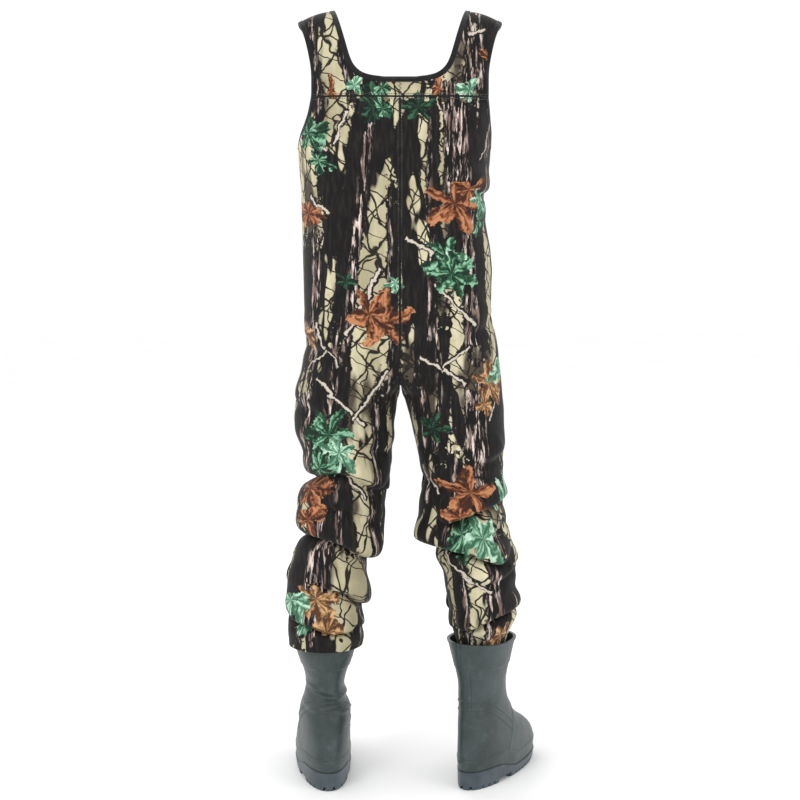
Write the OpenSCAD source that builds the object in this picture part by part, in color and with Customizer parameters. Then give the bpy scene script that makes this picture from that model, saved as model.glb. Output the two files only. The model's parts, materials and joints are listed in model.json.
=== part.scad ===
// Neoprene bootfoot chest waders, standing as worn. Millimetres, +Z up, the wearer faces -Y.
// The wearer's left side is +X. The origin is on the floor under the middle of the whole object.

/* [Garment heights] */
// Height of the top of the shoulder straps above the floor
shoulder_z = 1450; // [1440:1:1460]
// Height of the back yoke seam
yoke_seam_z = 1290; // [1285:1:1292]
// Height of the top edge of the front bib
bib_top_z = 1262; // [1255:1:1264]
// Height of the underarm
underarm_z = 1200; // [1190:1:1208]
// Height of the crotch
crotch_z = 752; // [745:1:756]
// Height of the knee axis
knee_z = 500; // [495:1:505]

/* [Neoprene] */
// Thickness of the neoprene panels
neoprene_t = 5; // [3.5:0.5:6]
// Radius of the thigh tube at the knee, outside
knee_r = 87; // [86:1:90]
// Distance of the knee centre from the middle plane
knee_x = 113; // [110:1:116]
// Thickness of the knee pads
pad_t = 3; // [2:0.5:4]

/* [Boots] */
// Height of the boot shaft
boot_h = 280; // [270:1:284]
// Wall thickness of the boot shaft
boot_wall = 3.5; // [3:0.5:4]
// Thickness of the heel block and of the forefoot with its lugs
sole_t = 26; // [24:1:28]
// Distance of the left boot from the middle plane
left_boot_x = 142; // [138:1:146]
// Distance of the right boot from the middle plane
right_boot_x = 155; // [150:1:158]
// How far the left toe turns out, in degrees
left_splay = 7; // [0:1:12]
// How far the right toe turns out, in degrees
right_splay = 25; // [10:1:28]

/* [Straps and buckles] */
// Width of the strap webbing
webbing_w = 38; // [36:1:38]
// Thickness of the strap webbing
webbing_t = 2; // [1.6:0.2:2]
// Distance of the buckles from the middle plane
buckle_x = 110; // [106:1:112]
// Lean of the front webbing from the vertical, in degrees
buckle_lean = 16.7; // [15:0.1:18]

/* [Chest pocket] */
// Width of the chest pocket
pocket_w = 172; // [160:2:184]
// Height of the chest pocket
pocket_h = 175; // [150:1:180]
// Depth of the chest pocket
pocket_d = 18; // [16:1:20]
// Height of the pocket's open top edge
pocket_top_z = 1184; // [1180:1:1186]

/* [Hidden] */
$fn = 48;

camo = [0.24, 0.21, 0.17];
black = [0.05, 0.05, 0.05];
boot_green = [0.22, 0.27, 0.26];
sole_grey = [0.26, 0.31, 0.33];

// Middle of the object's box before it is centred on the origin
centre_x = -30.05;
centre_y = -52.62;

gap = 0.3;          // clearance between soft pieces that touch in life
inner_cols = 5;     // facets from a section's inner end to its middle
outer_cols = 7;     // facets from a section's middle to the side seam
mid_x = 95;         // where the flat of the back turns into the round of the side
bib_front_y = -120; // the flat front of the bib

// Body sections, from the top down. Each row is
// [z, inner x, inner y back, inner y front, mid x, back y, front y, side x, back end angle, front end angle]
BODY = [
    [yoke_seam_z, 0, 112, 114, mid_x, 112, 114, 187, 43, 0],
    [bib_top_z, 0, 114, 117, mid_x, 114, 117, 187, 48, 19],
    [underarm_z + 40, 0, 116, 118.5, mid_x, 116, 118.5, 187, 60, 32],
    [underarm_z + 20, 0, 117, 119.5, mid_x, 117, 119.5, 188, 73, 50],
    [underarm_z, 0, 118, 120, mid_x, 118, 120, 188, 90, 90],
    [1117, 0, 120, 120, mid_x, 120, 120, 178, 90, 90],
    [1000, 0, 118, 120, mid_x, 118, 120, 177, 90, 90],
    [911, 0, 120, 118, mid_x, 120, 118, 176, 90, 90],
    [crotch_z + 90, 0, 122, 112, mid_x, 122, 112, 178, 90, 90],
    [crotch_z + 48, 0, 108, 92, 97, 119, 109, 184, 90, 90],
    [crotch_z + 20, 0, 72, 58, 98, 114, 106, 189, 90, 90],
    [crotch_z, 1, 12, 10, 100, 110, 104, 193, 90, 90],
    [crotch_z - 30, 7, 0, 0, 102, 104, 101, 197, 90, 90],
    [680, 14, 0, 0, 106, 98, 96, 197, 90, 90],
    [635, 22, 0, 0, 108, 93, 92, 194, 90, 90],
    [knee_z + 93, knee_x - knee_r, 0, 0, knee_x, knee_r + 1, knee_r + 1, knee_x + knee_r, 90, 90],
    [knee_z + 6, knee_x - knee_r, 0, 0, knee_x, knee_r, knee_r, knee_x + knee_r, 90, 90]
];
rim_slope = 0.5;    // the thigh tube's lower rim is cut low in front and high behind
last_row = len(BODY) - 1;

// Ball at the top of the shin tube, which turns inside the thigh tube
ball_r = 77.5;
ball_rows = [38, 26, 13, 0, -13, -26];
// Shin sections under the ball: [z, half width, back depth, front depth]
SHIN = [
    [440, 66, 66, 66],
    [418, 66, 66, 66],
    [370, 73, 74, 72],
    [318, 66, 72, 68],
    [boot_h + 6, 60, 69, 67],
    [boot_h - 1, 53.5, 62, 60],
    [boot_h - 20, 49.5, 60, 59],
    [boot_h - 40, 46, 56, 57]
];

// Boot sections, from the feather edge up: [z, heel y, toe y, half width at heel, half width at toe]
BOOT = [
    [sole_t, 72, -226, 43, 60],
    [40, 74, -228, 44, 61],
    [58, 73, -219, 44, 59],
    [75, 71, -198, 43, 55],
    [92, 68, -164, 42, 50],
    [108, 65, -128, 43, 48],
    [126, 62, -99, 44, 46],
    [150, 59, -80, 44, 44],
    [190, 61, -71, 40, 40],
    [207, 63, -71, 43, 43],
    [226, 65, -71, 47, 47],
    [250, 68, -72, 54, 54],
    [boot_h, 70, -73, 62, 62]
];
lining_t = 1.5;
insole_t = 4;
footbed_z = sole_t + 5;

strap_end_x = 127;  // middle of the strap's front end
slant_from = 94;     // height in the buckle's own frame where the webbing starts to lean out

// Yoke and shoulder strap, from the yoke seam over the shoulder to the front end:
// [inner x, outer x, y, z, how much the outer edge wraps forward, how far the outer edge drops]
YOKE = [
    [0.2, 158, 112, yoke_seam_z + 1, 1, 0],
    [0.2, 158, 111, 1308, 1, 0],
    [0.2, 158, 110, 1322, 1, 0],
    [45, 158, 109.5, 1325, 1, 0],
    [68, 158, 109, 1331, 1, 0],
    [84, 159, 107, 1344, 1, 0],
    [93, 161, 104, 1362, 0.9, 0],
    [100, 165, 97, 1385, 0.7, 2],
    [108, 171, 82, 1412, 0.5, 8],
    [116, 179, 55, 1436, 0.2, 14],
    [122, 184, 15, shoulder_z, 0, 20],
    [122, 184, -25, shoulder_z - 4, 0, 20],
    [114, 174, -65, 1430, 0, 12],
    [108, 158, -91, 1404, 0, 2],
    [strap_end_x - 22, strap_end_x + 22, -97, 1384, 0, 0]
];
yoke_cols = 9;
binding_h = 3;      // how far the binding stands past an edge
binding_t = 1;      // how far the binding stands proud of each face

// ---------- vector and section functions ----------

function unit(v) = v / norm(v);
function lerp(a, b, t) = a + (b - a) * t;
function flatten(rows) = [for (row = rows) each row];
function lookup_row(rows, z, i = 0) =
    z >= rows[i + 1][0] || i == len(rows) - 2
        ? lerp(rows[i], rows[i + 1], (rows[i][0] - z) / (rows[i][0] - rows[i + 1][0]))
        : lookup_row(rows, z, i + 1);

// A point of the half section at angle a: 0 at the inner end, 90 at the middle, 180 at the side seam.
// side is 1 for the back half and -1 for the front half.
function section_point(row, a, side) =
    let (x0 = row[1], y0 = side > 0 ? row[2] : row[3], xm = row[4], b = side > 0 ? row[5] : row[6])
    a < 90 ? [xm - (xm - x0) * cos(a), side * (y0 + (b - y0) * sin(a)), row[0]]
           : [xm + (row[7] - xm) * sin(a - 90), side * b * cos(a - 90), row[0]];

function section_angles(end) = concat(
    [for (i = [0:inner_cols - 1]) 90 * i / inner_cols],
    [for (i = [0:outer_cols]) 90 + end * i / outer_cols]
);
function section_row(row, side) =
    [for (a = section_angles(side > 0 ? row[8] : row[9])) section_point(row, a, side)];

function tilt_rim(points) = [for (p = points) [p[0], p[1], p[2] + rim_slope * p[1]]];

// Outward normal of a grid of points at row i and column j; turn is 1 or -1
function grid_normal(g, i, j, turn) =
    let (down = g[min(i + 1, len(g) - 1)][j] - g[max(i - 1, 0)][j],
         across = g[i][min(j + 1, len(g[0]) - 1)] - g[i][max(j - 1, 0)])
    turn * unit(cross(across, down));

// The grid moved along its normals by d
function offset_grid(g, d, turn) =
    [for (i = [0:len(g) - 1]) [for (j = [0:len(g[0]) - 1]) g[i][j] + d * grid_normal(g, i, j, turn)]];

// ---------- solids built from grids ----------

// Triangles of a grid of quads whose first point has index start
function grid_faces(rows, cols, start, flip) = [
    for (i = [0:rows - 2], j = [0:cols - 2])
        let (a = start + i * cols + j, b = a + 1, c = a + cols, d = c + 1)
        each flip ? [[a, c, b], [b, c, d]] : [[a, b, c], [b, d, c]]
];

// Triangles that join two equal chains of point indices
function strip_faces(p, q, flip) = [
    for (i = [0:len(p) - 2])
        each flip ? [[p[i], q[i], p[i + 1]], [p[i + 1], q[i], q[i + 1]]]
                  : [[p[i], p[i + 1], q[i]], [p[i + 1], q[i + 1], q[i]]]
];

// A closed sheet between an outer and an inner grid of the same size
module sheet(outer, inner, turn) {
    rows = len(outer);
    cols = len(outer[0]);
    n = rows * cols;
    flip = turn < 0;
    top = [for (j = [0:cols - 1]) j];
    bottom = [for (j = [0:cols - 1]) (rows - 1) * cols + j];
    first = [for (i = [0:rows - 1]) i * cols];
    last = [for (i = [0:rows - 1]) i * cols + cols - 1];
    inside = [for (list = [top, bottom, first, last]) [for (k = list) k + n]];
    polyhedron(
        points = concat(flatten(outer), flatten(inner)),
        faces = concat(
            grid_faces(rows, cols, 0, !flip),
            grid_faces(rows, cols, n, flip),
            strip_faces(top, inside[0], flip),
            strip_faces(bottom, inside[1], !flip),
            strip_faces(first, inside[2], !flip),
            strip_faces(last, inside[3], flip)
        ),
        convexity = 10
    );
}

// A sheet of thickness t inside a grid
module shell(grid, t, turn) {
    sheet(grid, offset_grid(grid, -t, turn), turn);
}

// The same for a panel of one side, whose inner face also stays clear of the middle and side seams
module panel_shell(grid, t, side) {
    inner = offset_grid(grid, -t, side);
    kept = [for (row = inner) [for (p = row) [max(p[0], gap / 2), side * max(side * p[1], gap / 2), p[2]]]];
    sheet(grid, kept, side);
}

// A solid through closed loops of points, capped at both ends
module loft(loops, flip = false) {
    n = len(loops);
    m = len(loops[0]);
    sides = [
        for (i = [0:n - 2], j = [0:m - 1])
            let (k = (j + 1) % m, a = i * m + j, b = i * m + k, c = a + m, d = b + m)
            each flip ? [[a, c, b], [b, c, d]] : [[a, b, c], [b, d, c]]
    ];
    start = [for (j = [0:m - 1]) flip ? j : m - 1 - j];
    finish = [for (j = [0:m - 1]) (n - 1) * m + (flip ? m - 1 - j : j)];
    polyhedron(points = flatten(loops), faces = concat(sides, [start], [finish]), convexity = 10);
}

module centred() {
    translate([-centre_x, -centre_y, 0]) children();
}

// Left as drawn, or mirrored to the wearer's right
module on_side(s) {
    if (s > 0) children();
    else mirror([1, 0, 0]) children();
}

// ---------- torso and thighs ----------

function back_grid() = [
    for (i = [0:last_row]) i == last_row ? tilt_rim(section_row(BODY[i], 1)) : section_row(BODY[i], 1)
];
function front_grid() = [
    for (i = [1:last_row]) i == last_row ? tilt_rim(section_row(BODY[i], -1)) : section_row(BODY[i], -1)
];

// Moves a left-hand grid clear of the middle plane and of the side seam
function clear_seams(g, side) =
    [for (row = g) [for (p = row) [p[0] + gap / 2, p[1] + side * gap / 2, p[2]]]];

module back_panel(s) {
    color(camo) centred() on_side(s) panel_shell(clear_seams(back_grid(), 1), neoprene_t, 1);
}

module front_panel(s) {
    color(camo) centred() on_side(s) panel_shell(clear_seams(front_grid(), -1), neoprene_t, -1);
}

module knee_pad(s) {
    heights = [635, 605, 575, 545, 515, 488];
    angles = [for (a = [36:12:144]) a];
    face = [for (z = heights) let (row = lookup_row(BODY, z)) [for (a = angles) section_point(row, a, -1)]];
    outer = offset_grid(face, 1 + pad_t, -1);
    color(camo) centred() on_side(s) sheet(outer, offset_grid(face, 1, -1), -1);
}

// ---------- yoke, straps and bindings ----------

function wrap_drop(x) = x < mid_x ? 0 : 112 * (1 - sqrt(1 - pow((x - mid_x) / (187 - mid_x), 2)));
function yoke_point(row, t) =
    let (x = lerp(row[0], row[1], t))
    [x, row[2] - row[4] * min(wrap_drop(x), 32), row[3] - row[5] * t];
function yoke_grid() =
    [for (row = YOKE) [for (j = [0:yoke_cols - 1]) yoke_point(row, j / (yoke_cols - 1))]];

module back_yoke_strap(s) {
    color(camo) centred() on_side(s) shell(yoke_grid(), neoprene_t, -1);
}

function mirrored(v) = [-v[0], v[1], v[2]];

// A tape folded over an edge: path is a list of [point, outward normal of the sheet]
module edge_tape(path, sign) {
    n = len(path);
    loops = [
        for (i = [0:n - 1])
            let (p = path[i][0], nrm = path[i][1],
                 along = unit(path[min(i + 1, n - 1)][0] - path[max(i - 1, 0)][0]),
                 out = sign * unit(cross(along, nrm)))
            [for (c = [[binding_t, gap], [binding_t, gap + binding_h],
                       [-neoprene_t - binding_t, gap + binding_h], [-neoprene_t - binding_t, gap]])
                p + c[0] * nrm + c[1] * out]
    ];
    loft(loops, sign > 0);
}

module neck_binding() {
    g = yoke_grid();
    end = len(YOKE) - 1;
    left = [for (i = [end:-1:3]) [g[i][0], grid_normal(g, i, 0, -1)]];
    right = [for (k = [len(left) - 1:-1:0]) [mirrored(left[k][0]), mirrored(left[k][1])]];
    color(black) centred() edge_tape(concat(left, right), 1);
}

module armhole_binding(s) {
    g = yoke_grid();
    b = back_grid();
    f = front_grid();
    edge = yoke_cols - 1;
    side = inner_cols + outer_cols;
    strap = [for (i = [len(YOKE) - 1:-1:0]) [g[i][edge], grid_normal(g, i, edge, -1)]];
    back = [for (i = [1:4]) [b[i][side], grid_normal(b, i, side, 1)]];
    front = [for (i = [2:-1:0]) [f[i][side], grid_normal(f, i, side, -1)]];
    color(black) centred() on_side(s) edge_tape(concat(strap, back, front), -1);
}

module bib_top_binding() {
    row = BODY[1];
    half = [for (a = section_angles(row[9])) section_point(row, a, -1)];
    left = [for (k = [len(half) - 1:-1:0]) [half[k], unit([0.35 * max(0, half[k][0] - mid_x) / 30, -1, 0])]];
    right = [for (k = [1:len(half) - 1]) [mirrored(half[k]), mirrored(left[len(half) - 1 - k][1])]];
    color(black) centred() edge_tape(concat(left, right), -1);
}

// Sealing tape down a middle seam, inside the panels
module seam_tape(side) {
    rows = [for (i = [side > 0 ? 0 : 1:8]) BODY[i]];
    face = [for (row = rows) [for (x = [-8, 8]) [x, side * ((side > 0 ? row[5] : row[6]) - neoprene_t - gap), row[0]]]];
    back = [for (row = face) [for (p = row) p - [0, side * 1, 0]]];
    color(black) centred() sheet(face, back, side);
}

// ---------- lower legs ----------

function leg_x(z, boot_x) = lerp(knee_x, boot_x, min(1, (knee_z - z) / 190));
function ring_row(cx, z, half_w, back, front, side) =
    [for (k = [0:12]) let (a = 180 - 15 * k) [cx + half_w * cos(a), side * (side > 0 ? back : front) * sin(a), z]];
function shin_grid(side, boot_x) = concat(
    [for (lat = ball_rows) ring_row(knee_x, knee_z + ball_r * sin(lat), ball_r * cos(lat), ball_r * cos(lat),
                                    ball_r * cos(lat), side)],
    [for (r = SHIN) ring_row(leg_x(r[0], boot_x), r[0], r[1], r[2], r[3], side)]
);

module shin_panel(s, side) {
    g = shin_grid(side, s > 0 ? left_boot_x : right_boot_x);
    grid = [for (row = g) [for (p = row) p + [0, side * gap / 2, 0]]];
    color(camo) centred() on_side(s) panel_shell(grid, neoprene_t, side);
}

// Tape ring that seals the leg to the boot, inside the leg's lower end
module boot_seal_tape(s) {
    cx = s > 0 ? left_boot_x : right_boot_x;
    low = len(SHIN) - 1;
    heights = [boot_h - 24, boot_h - 39];
    row = [for (z = heights) lookup_row(SHIN, z)];
    inset = neoprene_t + 1.5;
    color(black) centred() on_side(s) difference() {
        loft([for (r = row) ring_loop(cx, r, inset)]);
        loft([for (r = [row[0] + [1, 0, 0, 0], row[1] - [1, 0, 0, 0]]) ring_loop(cx, r, inset + 1)]);
    }
}
function ring_loop(cx, r, inset) = [
    for (k = [0:23]) let (a = 15 * k)
        [cx + (r[1] - inset) * cos(a), ((a < 180 ? r[2] : r[3]) - inset) * sin(a), r[0]]
];

// ---------- boots ----------

boot_sides = 32;
// The outline of a boot section, toe towards -Y, grown by d and blunted at both ends
function boot_loop(r, d, z) = [
    for (k = [0:boot_sides - 1])
        let (a = 360 * k / boot_sides, t = (1 - cos(a)) / 2,
             w = lerp(r[3], r[4], t) + d, low = min(1, max(0, (130 - r[0]) / 90)))
        [sign(sin(a)) * pow(abs(sin(a)), 0.86) * w - 9 * low * t * t,
         (r[1] + r[2]) / 2 + ((r[1] - r[2]) / 2 + d) * cos(a), z]
];
function boot_row(z) = let (r = lookup_row([for (i = [len(BOOT) - 1:-1:0]) BOOT[i]], z)) r;

module place_boot(s) {
    centred() on_side(s)
        translate([s > 0 ? left_boot_x : right_boot_x, 0, 0])
            rotate([0, 0, s > 0 ? left_splay : right_splay]) children();
}

// A cup between two offsets of the boot's outline, from z low to z high, with a floor
module boot_cup(outer_d, inner_d, low, floor, high) {
    outside = [for (r = BOOT) if (r[0] > low + 0.5 && r[0] < high - 0.5) r];
    inside = [for (r = BOOT) if (r[0] > floor + 2 && r[0] < high - 0.5) r];
    loops = concat(
        [boot_loop(boot_row(low), outer_d, low)],
        [for (r = outside) boot_loop(r, outer_d, r[0])],
        [boot_loop(boot_row(high), outer_d, high), boot_loop(boot_row(high), inner_d, high)],
        [for (i = [len(inside) - 1:-1:0]) boot_loop(inside[i], inner_d, inside[i][0])],
        [boot_loop(boot_row(floor), inner_d, floor)]
    );
    loft(loops);
}

module boot_upper(s) {
    color(boot_green) place_boot(s) boot_cup(0, -boot_wall, sole_t, sole_t + boot_wall, boot_h);
}

lining_play = 0.25;  // space between the wall and its lining

module boot_lining(s) {
    low = sole_t + boot_wall + gap;
    outer = -boot_wall - gap - lining_play;
    color([0.16, 0.16, 0.17]) place_boot(s)
        boot_cup(outer, outer - lining_t, low, low + lining_t, boot_h - 46);
}

module boot_insole(s) {
    d = -boot_wall - lining_play - 2 * gap - lining_t - 1;
    low = sole_t + boot_wall + 2 * gap + lining_t;
    row = boot_row(low);
    color([0.12, 0.12, 0.13]) place_boot(s) translate([0, 0, low]) linear_extrude(insole_t)
        polygon([for (p = boot_loop(row, d, 0)) [p[0], p[1]]]);
}

// Lugged sole: the outline, less the arch under the instep, the toe spring and the tread grooves
module boot_outsole(s) {
    row = boot_row(sole_t);
    groove_w = 5;
    groove_h = 6;
    heel_grooves = [16, 34, 52];
    fore_grooves = [for (y = [-58:-18:-202]) y];
    color(sole_grey) place_boot(s) difference() {
        linear_extrude(sole_t) polygon([for (p = boot_loop(row, 2, 0)) [p[0], p[1]]]);
        translate([-100, -40, -1]) cube([200, 44, 9 + 1]);
        for (y = concat(heel_grooves, fore_grooves)) {
            translate([-100, y - groove_w / 2, -1]) cube([72, groove_w, groove_h + 1]);
            translate([20, y - groove_w / 2, -1]) cube([80, groove_w, groove_h + 1]);
        }
        translate([0, -232, -12]) rotate([30, 0, 0]) translate([-100, -40, -30]) cube([200, 46, 40]);
    }
}

// ---------- strap webbing and side-release buckles ----------

buckle_y = -124;    // lower bar of the socket
buckle_z = 1272;
socket_w = 48;
socket_h = 40;
socket_t = 10;
cavity_w = 40;
cavity_t = 6;
web_y = -8.6;       // front face of the webbing in the buckle's own frame

// The buckle's own frame: +Z runs up the webbing, -Y faces out
module place_buckle(s) {
    centred() on_side(s) translate([buckle_x, buckle_y, buckle_z]) rotate([-buckle_lean, 0, 0]) children();
}

module block(x, y, z) {
    translate([x[0], y[0], z[0]]) cube([x[1] - x[0], y[1] - y[0], z[1] - z[0]]);
}

// Straight behind the buckle, then leaning out to the strap's front end
module strap_webbing(s) {
    half = webbing_w / 2;
    out = strap_end_x + 1 - buckle_x;
    color(black) place_buckle(s) translate([0, web_y + webbing_t, 0]) rotate([90, 0, 0])
        linear_extrude(webbing_t) polygon([
            [-half, -62],
            [half, -62],
            [half, slant_from],
            [half + out, 135],
            [out - half, 135],
            [-half, slant_from]
        ]);
}

module buckle_socket(s) {
    half = socket_w / 2;
    color(black) place_buckle(s) difference() {
        block([-half, half], [-socket_t / 2, socket_t / 2], [-12, socket_h]);
        block([-cavity_w / 2, cavity_w / 2], [-cavity_t / 2, cavity_t / 2], [8, socket_h + 1]);
        for (m = [-1, 1])
            translate([m * half, 0, 0]) block([-5, 5], [-cavity_t / 2, cavity_t / 2], [14, 30]);
        block([-20, 20], [-socket_t, socket_t], [-8, -3]);
    }
}

module buckle_plug(s) {
    half = socket_w / 2 - 1;
    color(black) place_buckle(s) {
        difference() {
            union() {
                block([-half, half], [-6.2, 4], [socket_h + 0.5, 63]);
                for (m = [-1, 1]) translate([m * 15.5, 0, 0]) block([-3.5, 3.5], [-2.4, 2.4], [13, 41]);
                block([-4, 4], [-2.2, 2.2], [16, 41]);
                for (m = [-1, 1])
                    translate([m * (half + 19.4) / 2, 0, 0])
                        block([-(half - 19.4) / 2, (half - 19.4) / 2], [-11.2, -6], [47, 55]);
                block([-half, half], [-11.2, -9], [47, 55]);
            }
            block([-19.4, 19.4], [-1.6, 5], [57, 60]);
        }
    }
}

// Short webbing loop that holds the socket to the bib, with the strip sewn down below it
module buckle_tab(s) {
    color(black) {
        place_buckle(s) difference() {
            block([-18, 18], [-6.4, 7], [-14, -6.2]);
            block([-19, 19], [-5.4, 5.4], [-12.3, -7.7]);
        }
        centred() on_side(s) translate([buckle_x - 18, 0, 0]) rotate([90, 0, 90]) linear_extrude(36)
            polygon([[-120.6, 1222], [-122.2, 1222], [-122.2, 1247], [-125.7, 1259], [-121.2, 1257.6], [-120.6, 1250]]);
    }
}

// ---------- chest pocket ----------

pocket_wall = 3;
pocket_back_y = bib_front_y - gap - 0.2;

module chest_pocket() {
    low = pocket_top_z - pocket_h;
    color(camo) centred() difference() {
        block([-pocket_w / 2, pocket_w / 2], [pocket_back_y - pocket_d, pocket_back_y], [low, pocket_top_z]);
        block([-pocket_w / 2 + pocket_wall, pocket_w / 2 - pocket_wall],
              [pocket_back_y - pocket_d + pocket_wall, pocket_back_y - 1.5],
              [low + pocket_wall, pocket_top_z + 1]);
    }
}

flap_axis_y = bib_front_y - 3;
flap_axis_z = pocket_top_z + 13;
flap_t = 3;
flap_y = pocket_back_y - pocket_d - 4;   // inner face of the hanging part
flap_low_z = pocket_top_z - 48;

module pocket_flap() {
    color(camo) centred() translate([-pocket_w / 2 - 3, 0, 0]) rotate([90, 0, 90])
        linear_extrude(pocket_w + 6) polygon([
            [flap_axis_y + 1.5, flap_axis_z + 1.5],
            [flap_y - flap_t + 2, pocket_top_z + 9],
            [flap_y - flap_t, pocket_top_z + 6],
            [flap_y - flap_t, flap_low_z],
            [flap_y, flap_low_z],
            [flap_y, pocket_top_z + 5],
            [flap_axis_y + 1.5, flap_axis_z - 1.5]
        ]);
}

tape_w = 120;
tape_t = 1.5;

module pocket_loop_tape() {
    face = pocket_back_y - pocket_d;
    color(black) centred() block([-tape_w / 2, tape_w / 2], [face - tape_t, face], [flap_low_z + 6, flap_low_z + 31]);
}

module flap_hook_tape() {
    color(black) centred() block([-tape_w / 2, tape_w / 2], [flap_y, flap_y + tape_t], [flap_low_z + 6, flap_low_z + 31]);
}

// ---------- D-ring ----------

ring_x = -62;
ring_y = -122.9;
ring_z = 1226;
ring_wire_r = 1.6;
ring_half_w = 14;

module d_ring_tab() {
    color(black) centred() translate([ring_x, ring_y, ring_z]) difference() {
        union() {
            rotate([0, 90, 0]) cylinder(h = 20, r = 3.2, center = true);
            block([-10, 10], [1.6, 3.1], [-2, 26]);
        }
        rotate([0, 90, 0]) cylinder(h = 24, r = ring_wire_r + 0.3, center = true);
    }
}

module d_ring() {
    color([0.45, 0.45, 0.46]) centred() translate([ring_x, ring_y, ring_z]) {
        rotate([0, 90, 0]) cylinder(h = 2 * ring_half_w, r = ring_wire_r, center = true);
        rotate([90, 0, 0]) rotate([0, 0, 180]) rotate_extrude(angle = 180)
            translate([ring_half_w, 0]) circle(r = ring_wire_r);
        for (m = [-1, 1]) translate([m * ring_half_w, 0, 0]) sphere(r = ring_wire_r);
    }
}

// ---------- nodes ----------

back_panel(1);  // back_panel_left
back_panel(-1);  // back_panel_right
front_panel(1);  // front_panel_left
front_panel(-1);  // front_panel_right
back_yoke_strap(1);  // back_yoke_strap_left
back_yoke_strap(-1);  // back_yoke_strap_right
neck_binding();
armhole_binding(1);  // armhole_binding_left
armhole_binding(-1);  // armhole_binding_right
bib_top_binding();
seam_tape(1);  // centre_back_seam_tape
seam_tape(-1);  // centre_front_seam_tape
knee_pad(1);  // knee_pad_left
knee_pad(-1);  // knee_pad_right
shin_panel(1, 1);  // shin_back_panel_left
shin_panel(-1, 1);  // shin_back_panel_right
shin_panel(1, -1);  // shin_front_panel_left
shin_panel(-1, -1);  // shin_front_panel_right
boot_seal_tape(1);  // boot_seal_tape_left
boot_seal_tape(-1);  // boot_seal_tape_right
boot_upper(1);  // boot_upper_left
boot_upper(-1);  // boot_upper_right
boot_outsole(1);  // boot_outsole_left
boot_outsole(-1);  // boot_outsole_right
boot_insole(1);  // boot_insole_left
boot_insole(-1);  // boot_insole_right
boot_lining(1);  // boot_lining_left
boot_lining(-1);  // boot_lining_right
strap_webbing(1);  // strap_webbing_left
strap_webbing(-1);  // strap_webbing_right
buckle_socket(1);  // buckle_socket_left
buckle_socket(-1);  // buckle_socket_right
buckle_plug(1);  // buckle_plug_left
buckle_plug(-1);  // buckle_plug_right
buckle_tab(1);  // buckle_tab_left
buckle_tab(-1);  // buckle_tab_right
chest_pocket();
pocket_loop_tape();
pocket_flap();
flap_hook_tape();
d_ring_tab();
d_ring();
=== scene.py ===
import json
import math

import bpy
import bmesh
import numpy as np
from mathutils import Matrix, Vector, noise


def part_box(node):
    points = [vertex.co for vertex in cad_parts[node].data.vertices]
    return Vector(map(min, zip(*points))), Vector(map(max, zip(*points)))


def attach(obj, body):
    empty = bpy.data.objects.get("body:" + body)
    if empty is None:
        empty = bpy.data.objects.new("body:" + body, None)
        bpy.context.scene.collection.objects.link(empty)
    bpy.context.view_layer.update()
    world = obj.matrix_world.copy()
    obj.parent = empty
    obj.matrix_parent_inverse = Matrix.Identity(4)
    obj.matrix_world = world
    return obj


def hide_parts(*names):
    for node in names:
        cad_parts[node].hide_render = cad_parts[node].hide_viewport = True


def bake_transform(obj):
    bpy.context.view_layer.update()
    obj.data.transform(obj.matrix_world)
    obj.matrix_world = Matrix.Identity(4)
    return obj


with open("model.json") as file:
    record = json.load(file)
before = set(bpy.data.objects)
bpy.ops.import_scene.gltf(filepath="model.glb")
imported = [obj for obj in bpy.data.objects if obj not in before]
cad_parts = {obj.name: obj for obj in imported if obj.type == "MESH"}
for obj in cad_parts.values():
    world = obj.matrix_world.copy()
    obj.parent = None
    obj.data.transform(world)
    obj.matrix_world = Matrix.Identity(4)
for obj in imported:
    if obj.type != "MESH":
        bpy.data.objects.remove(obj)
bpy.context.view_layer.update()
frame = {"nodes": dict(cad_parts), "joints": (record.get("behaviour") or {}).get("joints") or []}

# ------------------------------------------------------------------ frame
# Points below are in the wearer's own frame: x from the middle plane towards the wearer's left,
# y from the knee axis towards the back, z from the floor. WORLD moves them into the shared frame.
neck_low, neck_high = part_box("neck_binding")
MIDDLE_X = (neck_low.x + neck_high.x) / 2
KNEE = {}
for joint in frame["joints"]:
    if joint["name"] == "left_knee":
        KNEE[1] = Vector(joint["pos_m"])
    if joint["name"] == "right_knee":
        KNEE[-1] = Vector(joint["pos_m"])
WORLD = np.array([MIDDLE_X, KNEE[1].y, 0.0])
SIDES = {1: "left", -1: "right"}
LOWER_LEG = {1: "left_lower_leg", -1: "right_lower_leg"}


def along(table, z, soft=0.008):
    """Values at heights z of a table of (height, value) pairs, softened over +-soft."""
    rows = np.array(sorted(table))
    steps = [(-1.0, 1), (-0.5, 2), (0.0, 3), (0.5, 2), (1.0, 1)]
    total = 0
    for shift, weight in steps:
        total = total + weight * np.interp(z + shift * soft, rows[:, 0], rows[:, 1])
    return total / sum(weight for shift, weight in steps)


def bump(x):
    """A smooth bump, 1 at 0 and about a third of that at 1."""
    return np.exp(-np.square(x))


def run_along(path):
    """Distance along a path at each of its points."""
    return np.concatenate([[0], np.cumsum(np.linalg.norm(np.diff(path, axis=0), axis=1))])


def noise_field(points, scale, seed=0.0):
    """Smooth noise from -1 to 1 at each point of an (n, 3) array."""
    return np.array([noise.noise(Vector(p) * scale + Vector((seed, -seed, 2 * seed))) for p in points])


# ------------------------------------------------------------------ meshes
def normals_of(grid, turn):
    down = np.gradient(grid, axis=0)
    across = np.gradient(grid, axis=1)
    n = np.cross(across, down) * turn
    length = np.linalg.norm(n, axis=2, keepdims=True)
    return n / np.maximum(length, 1e-12)


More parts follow.
